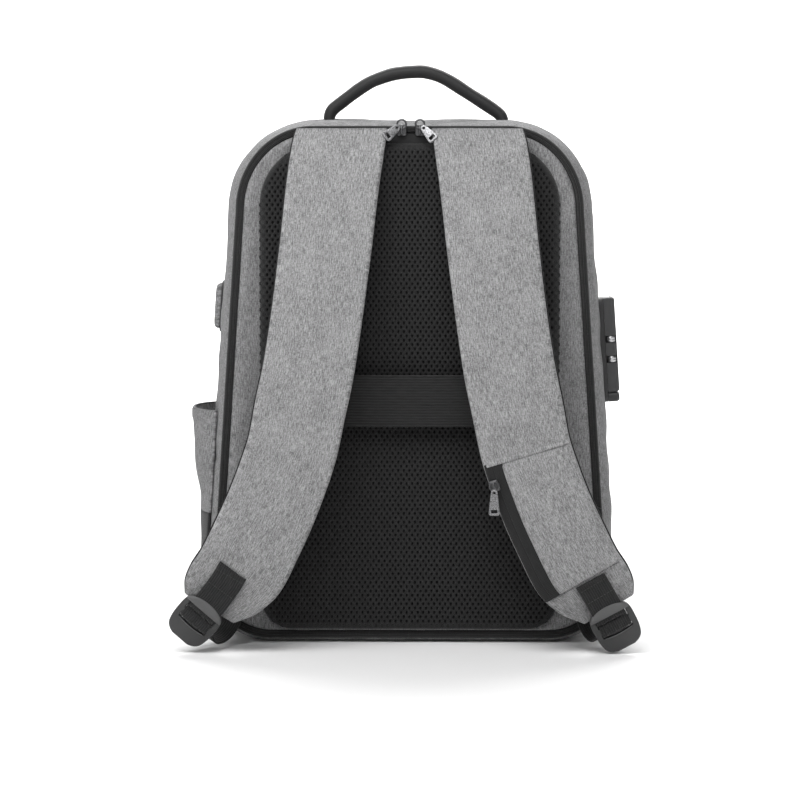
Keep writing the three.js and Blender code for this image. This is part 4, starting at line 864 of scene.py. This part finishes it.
def add_tube(name, course, radius, finish, sides=12, closed=False):
    """A round wire or cord along a course of points."""
    course = np.asarray(course, float)
    if closed:
        along = unit(np.roll(course, -1, axis=0) - np.roll(course, 1, axis=0))
    else:
        along = unit(np.gradient(course, axis=0))
    guide = np.array((0.31, 0.17, 0.93)) if abs(along[:, 2]).mean() < 0.7 else np.array((0.9, 0.3, 0.1))
    first = unit(np.cross(along, guide))
    second = np.cross(along, first)
    turns = np.linspace(0, 2 * math.pi, sides, endpoint=False)
    radius = np.broadcast_to(radius, len(course))[:, None, None]
    ring = first[:, None] * np.cos(turns)[None, :, None] + second[:, None] * np.sin(turns)[None, :, None]
    points = course[:, None] + ring * radius
    faces = grid_faces(len(course), sides, round_rows=closed, round_columns=True)
    if not closed:
        faces += end_faces(len(course), sides)
    return add_mesh(name, points, faces, finish)


def rounded_loop(half_width, half_height, radius, steps=5, middle=(0, 0)):
    """A rectangle with round corners, as a loop of points."""
    loop = []
    for corner_u, corner_v, start in ((1, 1, 0), (-1, 1, 90), (-1, -1, 180), (1, -1, 270)):
        for turn in np.radians(start + np.linspace(0, 90, steps)):
            loop.append((middle[0] + corner_u * (half_width - radius) + radius * math.cos(turn),
                         middle[1] + corner_v * (half_height - radius) + radius * math.sin(turn)))
    return loop


def dress_slider(name, origin, up, outward, hang, length, ring_rise, slider_node, puller_node):
    """A slider with its bridge and ring at a place, and a pull tab hanging from it along a direction."""
    up, outward, hang = (np.asarray(v, float) for v in (up, outward, hang))
    right = np.cross(up, outward)
    origin = np.asarray(origin, float)
    body_outline = rounded_loop(3.9, 4.6, 1.5)
    body = add_plate(name + "_body", body_outline, [], 2.8, 0.7, slider_metal,
                     place_frame(origin + outward * 1.4, right, up, outward))
    settle(body, "gunmetal", slider_node)
    arch = np.array([(3.7, 2.3), (3.5, 3.9), (2.4, 5.0), (0, 5.5), (-2.4, 5.0), (-3.5, 3.9), (-3.7, 2.3)])
    arch = smooth_course(np.c_[arch, np.zeros(7)], 22)
    bridge_course = origin + arch[:, :1] * up + arch[:, 1:2] * outward
    settle(add_tube(name + "_bridge", bridge_course, 0.95, slider_metal), "gunmetal")
    turns = np.linspace(0, 2 * math.pi, 33)[:-1]
    ring_middle = origin + outward * 4.2 + up * ring_rise
    ring = ring_middle + 3.6 * (np.cos(turns)[:, None] * right + np.sin(turns)[:, None] * up)
    settle(add_tube(name + "_ring", ring, 0.85, slider_metal, closed=True), "gunmetal")
    across = unit(np.cross(hang, outward))
    facing = np.cross(across, hang)
    facing = facing * np.sign((facing * outward).sum())
    start, top_half, end_half = 2.6, 2.5, 4.5
    side_steps = np.linspace(0, 1, 7)
    rim = [(-(top_half + (end_half - top_half) * s**0.8), -start - 1.5 - (length - 3.2) * s)
           for s in side_steps]
    corner = rim[-1]
    rim += [(corner[0] + 0.35, -start - length + 0.9), (corner[0] + 1.4, -start - length),
            (-corner[0] - 1.4, -start - length), (-corner[0] - 0.35, -start - length + 0.9)]
    rim += [(-u, v) for u, v in reversed(rim[:7])] + [(1.5, -start), (-1.5, -start)]
    slot = rounded_loop(2.5, 1.35, 0.4, 3, (0, -start - length + 3.3))
    eye = [(1.1 * math.cos(t), -start - 2.6 + 1.1 * math.sin(t))
           for t in np.linspace(0, 2 * math.pi, 13)[:-1]]
    rightward = across * np.sign((np.cross(-hang, facing) * across).sum())
    tab = add_plate(name + "_pull_tab", rim, [slot, eye], 1.5, 0.35, pewter,
                    place_frame(ring_middle + outward * 0.9, rightward, -hang, facing))
    settle(tab, "gunmetal", puller_node)


for name, place, splay, node_name in (("left_slider", -6.5, -50, "left"), ("right_slider", 8.5, 42, "right")):
    tip = math.radians(21)
    flat_hang = np.array((math.sin(math.radians(splay)), 0, -math.cos(math.radians(splay))))
    hang = flat_hang * math.cos(tip) + np.array((0, -1, 0)) * math.sin(tip)
    dress_slider(name, (place, ZIP_FACE - 0.3, SLIDER_Z), (0, 0, 1), (0, -1, 0), hang, 16.5, 5.0,
                 "zip_slider_" + node_name, "zip_puller_" + node_name)

# Strap pocket slider. The same kind of slider at the upper end of the pocket's zip, with its pull tab
# hanging straight down along the strap.
POCKET_SLIDER_SHARE, POCKET_SLIDER_ACROSS = 0.705, -0.9
pocket_course = strap_course(1, [POCKET_SLIDER_SHARE])
slider_lift = PAD_LIFT + STRAP_THICKNESS * pocket_course[4] + CLOTH_GAP + BAND_THICK + 0.3
slider_place = strap_place(pocket_course, np.array([[POCKET_SLIDER_ACROSS]]), slider_lift[:, None])[0, 0]
strap_out, strap_down = pocket_course[2][0], pocket_course[5][0]
straight_down = unit(np.array((0, 0, -1.0)) - strap_out * -strap_out[2])
dress_slider("pocket_slider", slider_place, -strap_down, strap_out,
             unit(straight_down + strap_out * 0.06), 21.0, 0.0, "strap_pocket_slider", "strap_pocket_puller")

# Carry handle. Foam cord rolled in smooth black cloth, its ends pushed into the top gusset and sewn.
HANDLE_ROWS = np.array([
    (-1, 0), (-1, 0.1), (-0.97, 0.22), (-0.88, 0.36), (-0.57, 0.75), (-0.32, 0.93), (-0.06, 1), (0.12, 0.99),
    (0.32, 0.87), (0.66, 0.5), (0.88, 0.25), (0.97, 0.12), (1.0, 0),
])
HANDLE_MIDDLE, HANDLE_HALF, HANDLE_RISE, HANDLE_FOOT, HANDLE_Y = 5.0, 73.0, 40.0, 434.8, -5.0
handle_black, tree, shader = new_finish("handle black", (0.02, 0.02, 0.0205), 0.52, specular=0.34, sheen=0.1)
split = add_node(tree, "ShaderNodeSeparateXYZ", {0: grain_of(tree)}).outputs
twill = thread_noise(tree, split[0], split[1], 0.8, 0.5)
twill_shade = calculate(tree, "ADD", twill, 0.5)
tree.links.new(mix_colours(tree, twill_shade, (0.009, 0.009, 0.0092, 1), (0.019, 0.019, 0.0195, 1)),
               shader.inputs["Base Color"])
add_bump(tree, shader, twill, 0.0002)
RINGS, HANDLE_SIDES = 150, 36
handle_line = np.c_[HANDLE_MIDDLE + HANDLE_HALF * HANDLE_ROWS[:, 0], np.full(len(HANDLE_ROWS), HANDLE_Y),
                    HANDLE_FOOT - 1.5 + (HANDLE_RISE + 1.5) * HANDLE_ROWS[:, 1]]
handle_course = smooth_course(handle_line, RINGS)
along = unit(np.gradient(handle_course, axis=0))
depth_way = np.array((0, 1.0, 0))
up_way = unit(np.cross(along, depth_way))
turns = np.linspace(0, 2 * math.pi, HANDLE_SIDES + 1)[:-1]
handle_share = np.linspace(0, 1, RINGS)
squeeze = 1 - 0.13 * np.exp(-(handle_share / 0.045)**2) - 0.1 * np.exp(-((1 - handle_share) / 0.05)**2)
round_depth = np.sign(np.cos(turns)) * np.abs(np.cos(turns))**0.9
round_up = np.sign(np.sin(turns)) * np.abs(np.sin(turns))**0.9
handle_points = (handle_course[:, None] + depth_way * round_depth[None, :, None] * 6.4
                 + up_way[:, None] * round_up[None, :, None] * 5.5 * squeeze[:, None, None])
creases = ripples((handle_points * (1.6, 1, 1)).reshape(-1, 3), 24, 81).reshape(RINGS, HANDLE_SIDES)
handle_points += (handle_points - handle_course[:, None]) * (creases * 0.018)[:, :, None]
handle_faces = grid_faces(RINGS, HANDLE_SIDES, round_columns=True) + end_faces(RINGS, HANDLE_SIDES)
handle = add_mesh("carry_handle_roll", handle_points, handle_faces, handle_black)
set_grain(handle, np.repeat((turns * 6)[None], RINGS, axis=0),
          np.repeat(np.linspace(0, 190, RINGS)[:, None], HANDLE_SIDES, axis=1))
settle(handle, "webbing", "carry_handle")

# Luggage band. A wide black ribbed band sewn down at both ends of the cushion and open behind, so that it
# slides over a pair of tubes.
BAND_ROWS = np.array([
    (0, 0), (0.1, 0), (0.16, 0.3), (0.23, 0.8), (0.32, 1), (0.5, 1.03),
    (0.68, 1), (0.77, 0.8), (0.84, 0.3), (0.9, 0), (1, 0),
])
BAND_HALF, BAND_MIDDLE, BAND_HEIGHT, BAND_THICKNESS, BAND_STAND = 117.0, 204.0, 43.0, 1.8, 11.0
webbing_black = woven_tape("webbing black", (0.028, 0.028, 0.0285), (0.006, 0.006, 0.006),
                           rib=1.9, pick=0.9, depth=0.0005)
band_black = woven_tape("luggage band black", (0.024, 0.024, 0.0245), (0.007, 0.007, 0.007),
                        rib=2.3, pick=0.8, depth=0.0006)
band_shares = np.linspace(0, 1, 130)
band_course = np.c_[-BAND_HALF + 2 * BAND_HALF * band_shares,
                    PAD_FACE - 0.3 - BAND_THICKNESS / 2 - BAND_STAND * read_table(BAND_ROWS, 1, band_shares),
                    np.full(130, BAND_MIDDLE)]
band = sweep_ribbon("luggage_band_web", band_course, np.tile((0, 0, 1.0), (130, 1)), BAND_HEIGHT,
                    BAND_THICKNESS, band_black, steps=44)
settle(band, "webbing", "luggage_band")
thread_black, _, _ = new_finish("thread black", (0.034, 0.034, 0.035), 0.6, specular=0.4)


def stitch_row(name, places, outward, finish, length=2.6, gap=1.0, thick=0.32):
    """Separate stitches laid along a course, each a small pointed bead on the cloth."""
    places, outward = np.asarray(places, float), np.asarray(outward, float)
    walk = np.concatenate(([0], np.cumsum(np.linalg.norm(np.diff(places, axis=0), axis=1))))
    starts = np.arange(0.3, walk[-1] - length, length + gap)
    at = starts[:, None] + length * np.array((0, 0.25, 0.75, 1.0))
    line = np.stack([np.interp(at, walk, places[:, i]) for i in range(3)], axis=-1)
    out = unit(np.stack([np.interp(at, walk, outward[:, i]) for i in range(3)], axis=-1))
    side_way = unit(np.cross(line[:, 3:] - line[:, :1], out))
    lift = np.array((-0.1, 0.75, 0.75, -0.1))[None, :, None] * thick
    line = line + out * lift
    points, faces = [], []
    for s in range(len(starts)):
        base = len(points)
        points.append(line[s, 0])
        for ring in (1, 2):
            for turn in np.linspace(0, 2 * math.pi, 7)[:-1]:
                spoke = math.cos(turn) * side_way[s, ring] + math.sin(turn) * out[s, ring] * 0.8
                points.append(line[s, ring] + thick * spoke)
        points.append(line[s, 3])
        for k in range(6):
            n = (k + 1) % 6
            near, far = (base + 1 + k, base + 1 + n), (base + 7 + n, base + 7 + k)
            faces += [(base, near[1], near[0]), (*near, *far), (base + 13, far[1], far[0])]
    made = add_mesh(name, points, faces, finish)
    settle(made, "webbing")
    return made


for end in (-1, 1):
    for inset in (2.5, 20.5):
        x = end * (BAND_HALF - inset)
        up = np.linspace(-19.5, 19.5, 40)
        row = np.c_[np.full(40, x), np.full(40, PAD_FACE - 0.3 - BAND_THICKNESS), BAND_MIDDLE + up]
        stitch_row(f"luggage_band_stitches_{'left' if end < 0 else 'right'}_{int(inset)}", row,
                   np.tile((0, -1.0, 0), (40, 1)), thread_black)

# Ladder buckles. Moulded black plastic, nearly oval: a lens-shaped hood over the tab's fold, a centre bar
# for the webbing, and a deep lip to tilt it by.
BUCKLE_WIDTH, BUCKLE_THICKNESS, BUCKLE_TOP, BUCKLE_BOTTOM = 37.0, 4.4, 17.5, -21.0
CENTRE_BAR, UPPER_SLOT, SLOT_HALF, TAB_OFFSET, BUCKLE_DROP = 6.0, 9.5, 13.2, 6.0, 30.0
BUCKLE_SHARE, BUCKLE_TURN = 0.9625, {"left": 8, "right": 5}
OUTLINE_ROWS = np.array([(0, 0.42), (0.03, 0.6), (0.08, 0.76), (0.17, 0.89), (0.34, 0.975), (0.55, 1.0),
                         (0.76, 0.985), (0.88, 0.9), (0.955, 0.72), (1, 0.45)])
WEBBING_WIDTH, WEBBING_THICKNESS = 26.0, 1.5
buckle_black, tree, shader = new_finish("buckle plastic", (0.03, 0.03, 0.0305), 0.4, specular=0.5)
grained = add_node(tree, "ShaderNodeTexNoise", {"Scale": 1700.0, "Detail": 2.0})
add_bump(tree, shader, grained.outputs[0], 0.00006)
# Painted highlight: the hood and the lip's raised edge get a lighter grey copy of the same black plastic,
# standing for the light they catch.
buckle_highlight_plastic, tree, shader = new_finish("buckle hood painted highlight", (0.085, 0.085, 0.086), 0.5, specular=0.5)
grained = add_node(tree, "ShaderNodeTexNoise", {"Scale": 1700.0, "Detail": 2.0})
add_bump(tree, shader, grained.outputs[0], 0.00006)


def buckle_frame(name):
    """Origin and directions of a buckle: u across, v up towards the strap, n outward."""
    side = -1 if name == "left" else 1
    centre, strap_across, outward, _, thick, along = (part[0] for part in strap_course(side, [BUCKLE_SHARE]))
    turning = np.array(Matrix.Rotation(-math.radians(BUCKLE_TURN[name]), 3, Vector(outward)))
    down, across = turning @ along, turning @ strap_across
    lift = PAD_LIFT + STRAP_THICKNESS * thick + 2 * CLOTH_GAP + WEBBING_THICKNESS
    origin = centre + strap_across * TAB_OFFSET + outward * lift + down * BUCKLE_DROP
    return side, origin, down, across, outward


for name in ("left", "right"):
    side, origin, down, across, outward = buckle_frame(name)
    up = -down
    right = np.cross(up, outward)
    shares = np.linspace(0, 1, 31)
    halves = read_table(OUTLINE_ROWS, 1, shares) * BUCKLE_WIDTH / 2
    heights = BUCKLE_BOTTOM + (BUCKLE_TOP - BUCKLE_BOTTOM) * shares
    rim = list(zip(halves, heights)) + [(-u, v) for u, v in zip(halves[::-1], heights[::-1])]
    upper = rounded_loop(SLOT_HALF, UPPER_SLOT / 2, 0.9, 4, (0, CENTRE_BAR / 2 + UPPER_SLOT / 2))
    bow = [(u, -CENTRE_BAR / 2 - 2.4 - 1.5 * (1 - (u / SLOT_HALF)**2))
           for u in np.linspace(-SLOT_HALF, SLOT_HALF, 21)]
    lower = bow + [(SLOT_HALF, -CENTRE_BAR / 2), (-SLOT_HALF, -CENTRE_BAR / 2)]
    buckle = add_plate("ladder_buckle_frame_" + name, rim, [upper, lower], BUCKLE_THICKNESS, 1.2,
                       buckle_black, place_frame(origin, right, up, outward), rounds=4)
    settle(buckle, "hard_plastic", "ladder_buckle_" + name)

    lens_u = np.linspace(-0.93, 0.93, 41)
    lens_low = 10.4
    lens_high = lens_low + (BUCKLE_TOP + 1.2 - lens_low) * np.sqrt(np.maximum(1 - (lens_u / 0.95)**2, 0.0))
    lens_columns = []
    for u, high in zip(lens_u, lens_high):
        v = lens_low + (high - lens_low) * np.linspace(0, 1, 9)
        over = np.sin(np.linspace(0.5, 2.75, 9))**0.8 * np.clip((high - lens_low) / 5, 0.2, 1)
        front = 3.4 + 2.3 * over
        lens_columns.append(np.c_[np.full(9, u * BUCKLE_WIDTH / 2), v, front])
    lens = np.stack(lens_columns)
    behind = lens.copy()
    behind[:, :, 2] = 2.0
    closed = np.concatenate((lens, behind[:, ::-1]), axis=1)
    lens_points = (origin + closed[:, :, :1] * right + closed[:, :, 1:2] * up + closed[:, :, 2:] * outward)
    lens_faces = grid_faces(41, 18, round_columns=True) + end_faces(41, 18)
    hood = add_mesh("ladder_buckle_hood_" + name, lens_points, lens_faces, buckle_highlight_plastic)
    hood.data.set_sharp_from_angle(angle=math.radians(38))
    settle(hood, "hard_plastic")
    # The lip's raised edge in the lighter plastic: a painted highlight.
    lip_line = np.array([(u, v - 0.6, 2.35) for u, v in bow[1:-1]])
    lip_edge = add_tube("ladder_buckle_lip_" + name, origin + lip_line[:, :1] * right + lip_line[:, 1:2] * up
                        + lip_line[:, 2:] * outward, 0.42, buckle_highlight_plastic, sides=8)
    settle(lip_edge, "hard_plastic")

# Webbing tabs. Ribbed nylon webbing sewn to each strap's end, passed under the buckle's hood and folded
# back round its top bar. Two rows of stitches hold it.
TAB_SEWN = {"left": (0.9165, 0.93, 0.941), "right": (0.936, 0.941, 0.946)}
for name in ("left", "right"):
    side, origin, down, across, outward = buckle_frame(name)
    up = -down
    sewn = strap_course(side, np.array(TAB_SEWN[name]))
    face = (PAD_LIFT + STRAP_THICKNESS * sewn[4])[:, None]
    spread = TAB_OFFSET / sewn[3][:, 1:]
    outer = strap_place(sewn, spread, face + 2.3)[:, 0]
    inner = strap_place(sewn, spread, face + 0.55)[:, 0]
    fold = [(21.5, 3.0), (15, 3.1), (10, 3.0), (7.4, 2.5), (6.3, 0.9),
            (6.3, -0.9), (7.4, -2.6), (10, -3.1), (16, -3.0), (20, -2.0)]
    over = [origin + v * up + n * outward for v, n in fold]
    top_fold = outer[0] + (inner[0] - outer[0]) * 0.5 - (outer[1] - outer[0]) * 0.1
    tab_course = smooth_course([top_fold, *outer, *over, *inner[::-1]], 130)
    tab = sweep_ribbon("webbing_tab_web_" + name, tab_course, np.tile(across, (130, 1)), WEBBING_WIDTH,
                       WEBBING_THICKNESS, webbing_black, steps=16)
    settle(tab, "webbing", "webbing_tab_" + name)
    for row, at in (("upper", 0.055), ("lower", 0.2)):
        middle = tab_course[int(at * 130)]
        ahead = unit(tab_course[int(at * 130) + 1] - middle)
        out = unit(np.cross(ahead, across))
        out = out * np.sign((out * outward).sum())
        row_way = unit(across - ahead * (across * ahead).sum())
        line = middle + np.linspace(-11.8, 11.8, 30)[:, None] * row_way + out * 0.85
        stitch_row(f"webbing_tab_stitches_{name}_{row}", line, np.tile(out, (30, 1)), thread_black,
                   length=2.2, gap=0.8)

# Adjuster webbing. The same webbing over each buckle's centre bar; it hangs slack behind the buckle and
# is sewn to the corner wing.
WING_BOTTOM, WING_HEIGHT, WING_REACH = 34.0, 80.0, 26.0
WING_THICKNESS, WING_MARGIN, WING_BACK = 2.4, 1.5, -63.0
SAG_ROWS = ((0.72, 0.93), (0.52, 1.0), (0.3, 0.86), (0.12, 0.55))
for name in ("left", "right"):
    side, origin, down, across, outward = buckle_frame(name)
    up = -down
    bar = CENTRE_BAR / 2 + 0.3 + WEBBING_THICKNESS / 2
    reach = BUCKLE_THICKNESS / 2 + 0.3 + WEBBING_THICKNESS / 2
    through = [(bar, -9), (bar, -reach), (bar, reach * 0.6), (bar * 0.7, reach), (-bar * 0.7, reach),
               (-bar, reach * 0.6), (-bar, -reach), (-bar - 2.7, -reach - 9)]
    course = [origin + v * up + n * outward for v, n in through]
    start = course[-1]
    sewn_x = side * (BOTTOM_HALF - WEBBING_WIDTH / 2 - WING_MARGIN)
    sewn_y = WING_BACK - WING_THICKNESS - 0.3 - WEBBING_THICKNESS / 2
    lowest = WEBBING_THICKNESS + 9
    for forward, drop in SAG_ROWS:
        course.append(np.array((sewn_x + (start[0] - sewn_x) * forward,
                                sewn_y + (start[1] - sewn_y) * forward,
                                WING_BOTTOM + (lowest - WING_BOTTOM) * drop)))
    for height in (WING_BOTTOM + 4, WING_BOTTOM + WING_HEIGHT / 2):
        course.append(np.array((sewn_x, sewn_y, height)))
    level = np.array((side, 0, 0.0))
    ways = [across * (1 - t) + level * t for t in np.clip((np.arange(len(course)) - 7) / 4, 0, 1)]
    both = smooth_course(np.c_[np.array(course), np.array(ways) * 6], 150)
    webbing = sweep_ribbon("adjuster_web_" + name, both[:, :3], both[:, 3:], WEBBING_WIDTH, WEBBING_THICKNESS,
                           webbing_black, steps=16)
    settle(webbing, "webbing", "adjuster_webbing_" + name)

# Corner wings. Black nylon tabs laid over the zip band's lower corners and caught in the side seam; they
# take the pull of the webbing.
WING_ROWS = np.array([(0, 0.9), (0.2, 1), (0.45, 0.85), (0.7, 0.6), (0.88, 0.4), (1, 0.26)])
for side, name in ((-1, "left"), (1, "right")):
    shares = np.linspace(0, 1, 34)
    z = WING_BOTTOM + WING_HEIGHT * shares
    edge = gusset_half_width(BACK_Y, z)
    reach = WING_REACH * read_table(WING_ROWS, 1, shares)
    reach = reach * np.clip(np.minimum(shares, 1 - shares) / 0.03, 0.75, 1)
    course = np.c_[side * (edge - reach / 2), np.full(34, WING_BACK - WING_THICKNESS / 2), z]
    wing = sweep_ribbon("corner_wing_cloth_" + name, course, np.tile((side, 0, 0.0), (34, 1)), reach,
                        WING_THICKNESS, edge_black, edge=0.8)
    settle(wing, "black_trim", "corner_wing_" + name)

# Bottle pocket. An open pouch on the left side: grey cloth above with a turned hem, black cloth below,
# sewn into both side seams and the base.
POCKET_TOP, POCKET_SPLIT, POCKET_BOTTOM = 193.0, 107.0, 26.0
POCKET_HALF, POCKET_REACH, POCKET_WALL = 47.0, 18.0, 2.0
POCKET_ROWS = np.array([
    (0, 0.03), (0.06, 0.12), (0.2, 0.2), (0.4, 0.27), (0.52, 0.38), (0.66, 0.6), (0.82, 0.86), (1, 1),
])


def pocket_cloth(name, low, high, rows, finish, hem=False):
    """A stretch of the pocket's wall between two heights."""
    depths, heights = np.linspace(-POCKET_HALF, POCKET_HALF, 41), np.linspace(low, high, rows)
    side_half = np.stack([gusset_half_width(y, heights) for y in depths], axis=1)
    share = (heights - POCKET_BOTTOM) / (POCKET_TOP - POCKET_BOTTOM)
    reach = (POCKET_REACH * read_table(POCKET_ROWS, 1, share))[:, None]
    swell = reach * (1 - np.abs(depths / POCKET_HALF)**3)[None]
    place = np.stack((0 * swell, depths[None] + 0 * swell, heights[:, None] + 0 * swell), axis=-1)
    loose = ripples(place.reshape(-1, 3), 48, 91).reshape(swell.shape) * 0.7 * np.clip(swell / 8, 0, 1)
    hem_rows = ([0, 1.0, 2.0, 9.0, 9.6, 10.4], [0.0, 0.7, 0.9, 0.9, 0.5, 0.0])
    fold = np.interp(high - heights, *hem_rows) if hem else 0 * heights
    outer_x = side_half + CLOTH_GAP + POCKET_WALL + swell + loose + fold[:, None]
    inner_x = side_half + CLOTH_GAP + swell + loose
    outer = np.stack((-outer_x, place[:, :, 1], place[:, :, 2]), axis=-1)
    inner = np.stack((-inner_x, place[:, :, 1], place[:, :, 2]), axis=-1)
    closed = np.concatenate((outer, inner[:, ::-1]), axis=1)
    faces = grid_faces(rows, 82, round_columns=True)
    for start, flip in ((0, True), ((rows - 1) * 82, False)):
        for c in range(40):
            quad = (start + c, start + c + 1, start + 80 - c, start + 81 - c)
            faces.append(quad if flip else tuple(reversed(quad)))
    made = add_mesh(name, closed, faces, finish)
    set_grain(made, closed[:, :, 1], closed[:, :, 2])
    return made


upper_cloth = pocket_cloth("bottle_pocket_cloth", POCKET_SPLIT + 0.1, POCKET_TOP, 44, melange_grey, hem=True)
settle(upper_cloth, "melange", "bottle_pocket")
lower_cloth = pocket_cloth("bottle_pocket_base_cloth", POCKET_BOTTOM, POCKET_SPLIT + 0.1, 36, edge_black)
settle(lower_cloth, "black_trim", "bottle_pocket_base")

# Cable port. A thin black moulded frame on the left side, under a soft grey flap that is pressed shut
# over it.
PORT_HEIGHT, PORT_LENGTH, PORT_WIDTH, PORT_SEAT = 278.0, 38.0, 24.0, 1.9


def side_fitting(side, height):
    """Place and lean of a fitting on the gusset's side, as out, along the depth, and up."""
    near = gusset_half_width(0, np.array([height - 10, height, height + 10]))
    lean = math.atan2(near[0] - near[2], 20)
    out = np.array((side * math.cos(lean), 0, math.sin(lean)))
    up = np.array((-side * math.sin(lean), 0, math.cos(lean)))
    return np.array((side * (near[1] + 0.3), 0, height)), out, up


port_origin, port_out, port_up = side_fitting(-1, PORT_HEIGHT)
flap_rows = [(0.0, 0.97), (0.3, 1.0), (1.4, 1.0), (2.6, 0.97), (3.7, 0.9),
             (4.5, 0.78), (4.95, 0.6), (5.1, 0.35), (5.15, 0.1)]
flap_points = []
for out, share in flap_rows:
    half_w, half_l = PORT_WIDTH / 2 - 9 * (1 - share), PORT_LENGTH / 2 - 9 * (1 - share)
    loop = rounded_loop(half_w, half_l, min(5.0, half_w - 0.2), 6)
    middle = port_origin + port_out * (PORT_SEAT + out)
    flap_points.append([middle + np.array((0, 1.0, 0)) * u + port_up * v for u, v in loop])
flap_points = np.array(flap_points)
flap_faces = grid_faces(len(flap_rows), 24, round_columns=True) + end_faces(len(flap_rows), 24)
flap = add_mesh("port_flap", flap_points, flap_faces, melange_grey)
set_grain(flap, flap_points[:, :, 1], flap_points[:, :, 2])
settle(flap, "melange", "port_cover")

# Combination lock. A plastic housing screwed to the right side, with two metal number wheels at its edge.
# Its solids keep their shape and get a fine moulded edge and grain.
lock_grey, tree, shader = new_finish("lock plastic", (0.05, 0.05, 0.0515), 0.42, specular=0.5)
grained = add_node(tree, "ShaderNodeTexNoise", {"Scale": 1500.0, "Detail": 2.0})
add_bump(tree, shader, grained.outputs[0], 0.00005)
lock_black, tree, shader = new_finish("lock base plastic", (0.028, 0.028, 0.029), 0.45, specular=0.5)
pin_metal, _, _ = new_finish("pin steel", (0.5, 0.5, 0.51), 0.3, metallic=1.0)
for node_name, finish in (("port_frame", buckle_black), ("lock_base", lock_black), ("lock_cover", lock_grey),
                          ("lock_cap", lock_black), ("lock_spindle", pin_metal)):
    hole_unshaded = bpy.data.objects[node_name]
    hole_unshaded.material_slots[0].material = finish
    if node_name != "lock_spindle":
        eased = hole_unshaded.modifiers.new("eased edges", "BEVEL")
        eased.width, eased.segments, eased.limit_method = 0.45 * MM, 3, "ANGLE"
        eased.angle_limit = math.radians(28)
        eased.harden_normals = False

# Number wheels. Two turned metal wheels with a knurled rim and a plain groove round the middle. Both are
# free on the lock's pin.
LOCK_HEIGHT, DIAL_RADIUS, DIAL_HEIGHTS = 241.0, 4.2, {"upper": 9, "lower": -8}
LOCK_SEAT, LOCK_COVER_WIDTH, LOCK_COVER_THICKNESS = 4.3, 25.0, 9.7
RIM_POINTS = 80
wheel_metal, _, _ = new_finish("wheel metal", (0.62, 0.62, 0.63), 0.3, metallic=1.0)
lock_origin, lock_out, lock_up = side_fitting(1, LOCK_HEIGHT)
dial_out, dial_depth = LOCK_SEAT + LOCK_COVER_THICKNESS / 2 - 0.1, -LOCK_COVER_WIDTH / 2 + DIAL_RADIUS - 0.5
for name, height in DIAL_HEIGHTS.items():
    middle = lock_origin + lock_out * dial_out + np.array((0, dial_depth, 0)) + lock_up * height
    profile = [(1.5, -2.5), (3.4, -2.5), (3.75, -2.3), (4.12, -1.7), (4.18, -0.9), (4.05, -0.75),
               (4.05, 0.75), (4.18, 0.9), (4.12, 1.7), (3.75, 2.3), (3.4, 2.5), (1.5, 2.5)]
    turns = np.linspace(0, 2 * math.pi, RIM_POINTS + 1)[:-1]
    knurl = 1 - 0.028 * (np.arange(RIM_POINTS) % 4 >= 2)
    ring = []
    for radius, up in profile:
        grip = knurl if 0.8 < abs(up) < 2.4 and radius > 3.5 else np.ones(RIM_POINTS)
        ring.append(middle + (np.cos(turns) * radius * grip)[:, None] * lock_out
                    + (np.sin(turns) * radius * grip)[:, None] * np.array((0, 1.0, 0)) + up * lock_up)
    wheel_faces = grid_faces(len(profile), RIM_POINTS, round_rows=True, round_columns=True)
    wheel = add_mesh("lock_wheel_" + name, np.array(ring), wheel_faces, wheel_metal)
    wheel.data.set_sharp_from_angle(angle=math.radians(30))
    settle(wheel, "dial_metal", "lock_dial_" + name, body="dial_" + name)
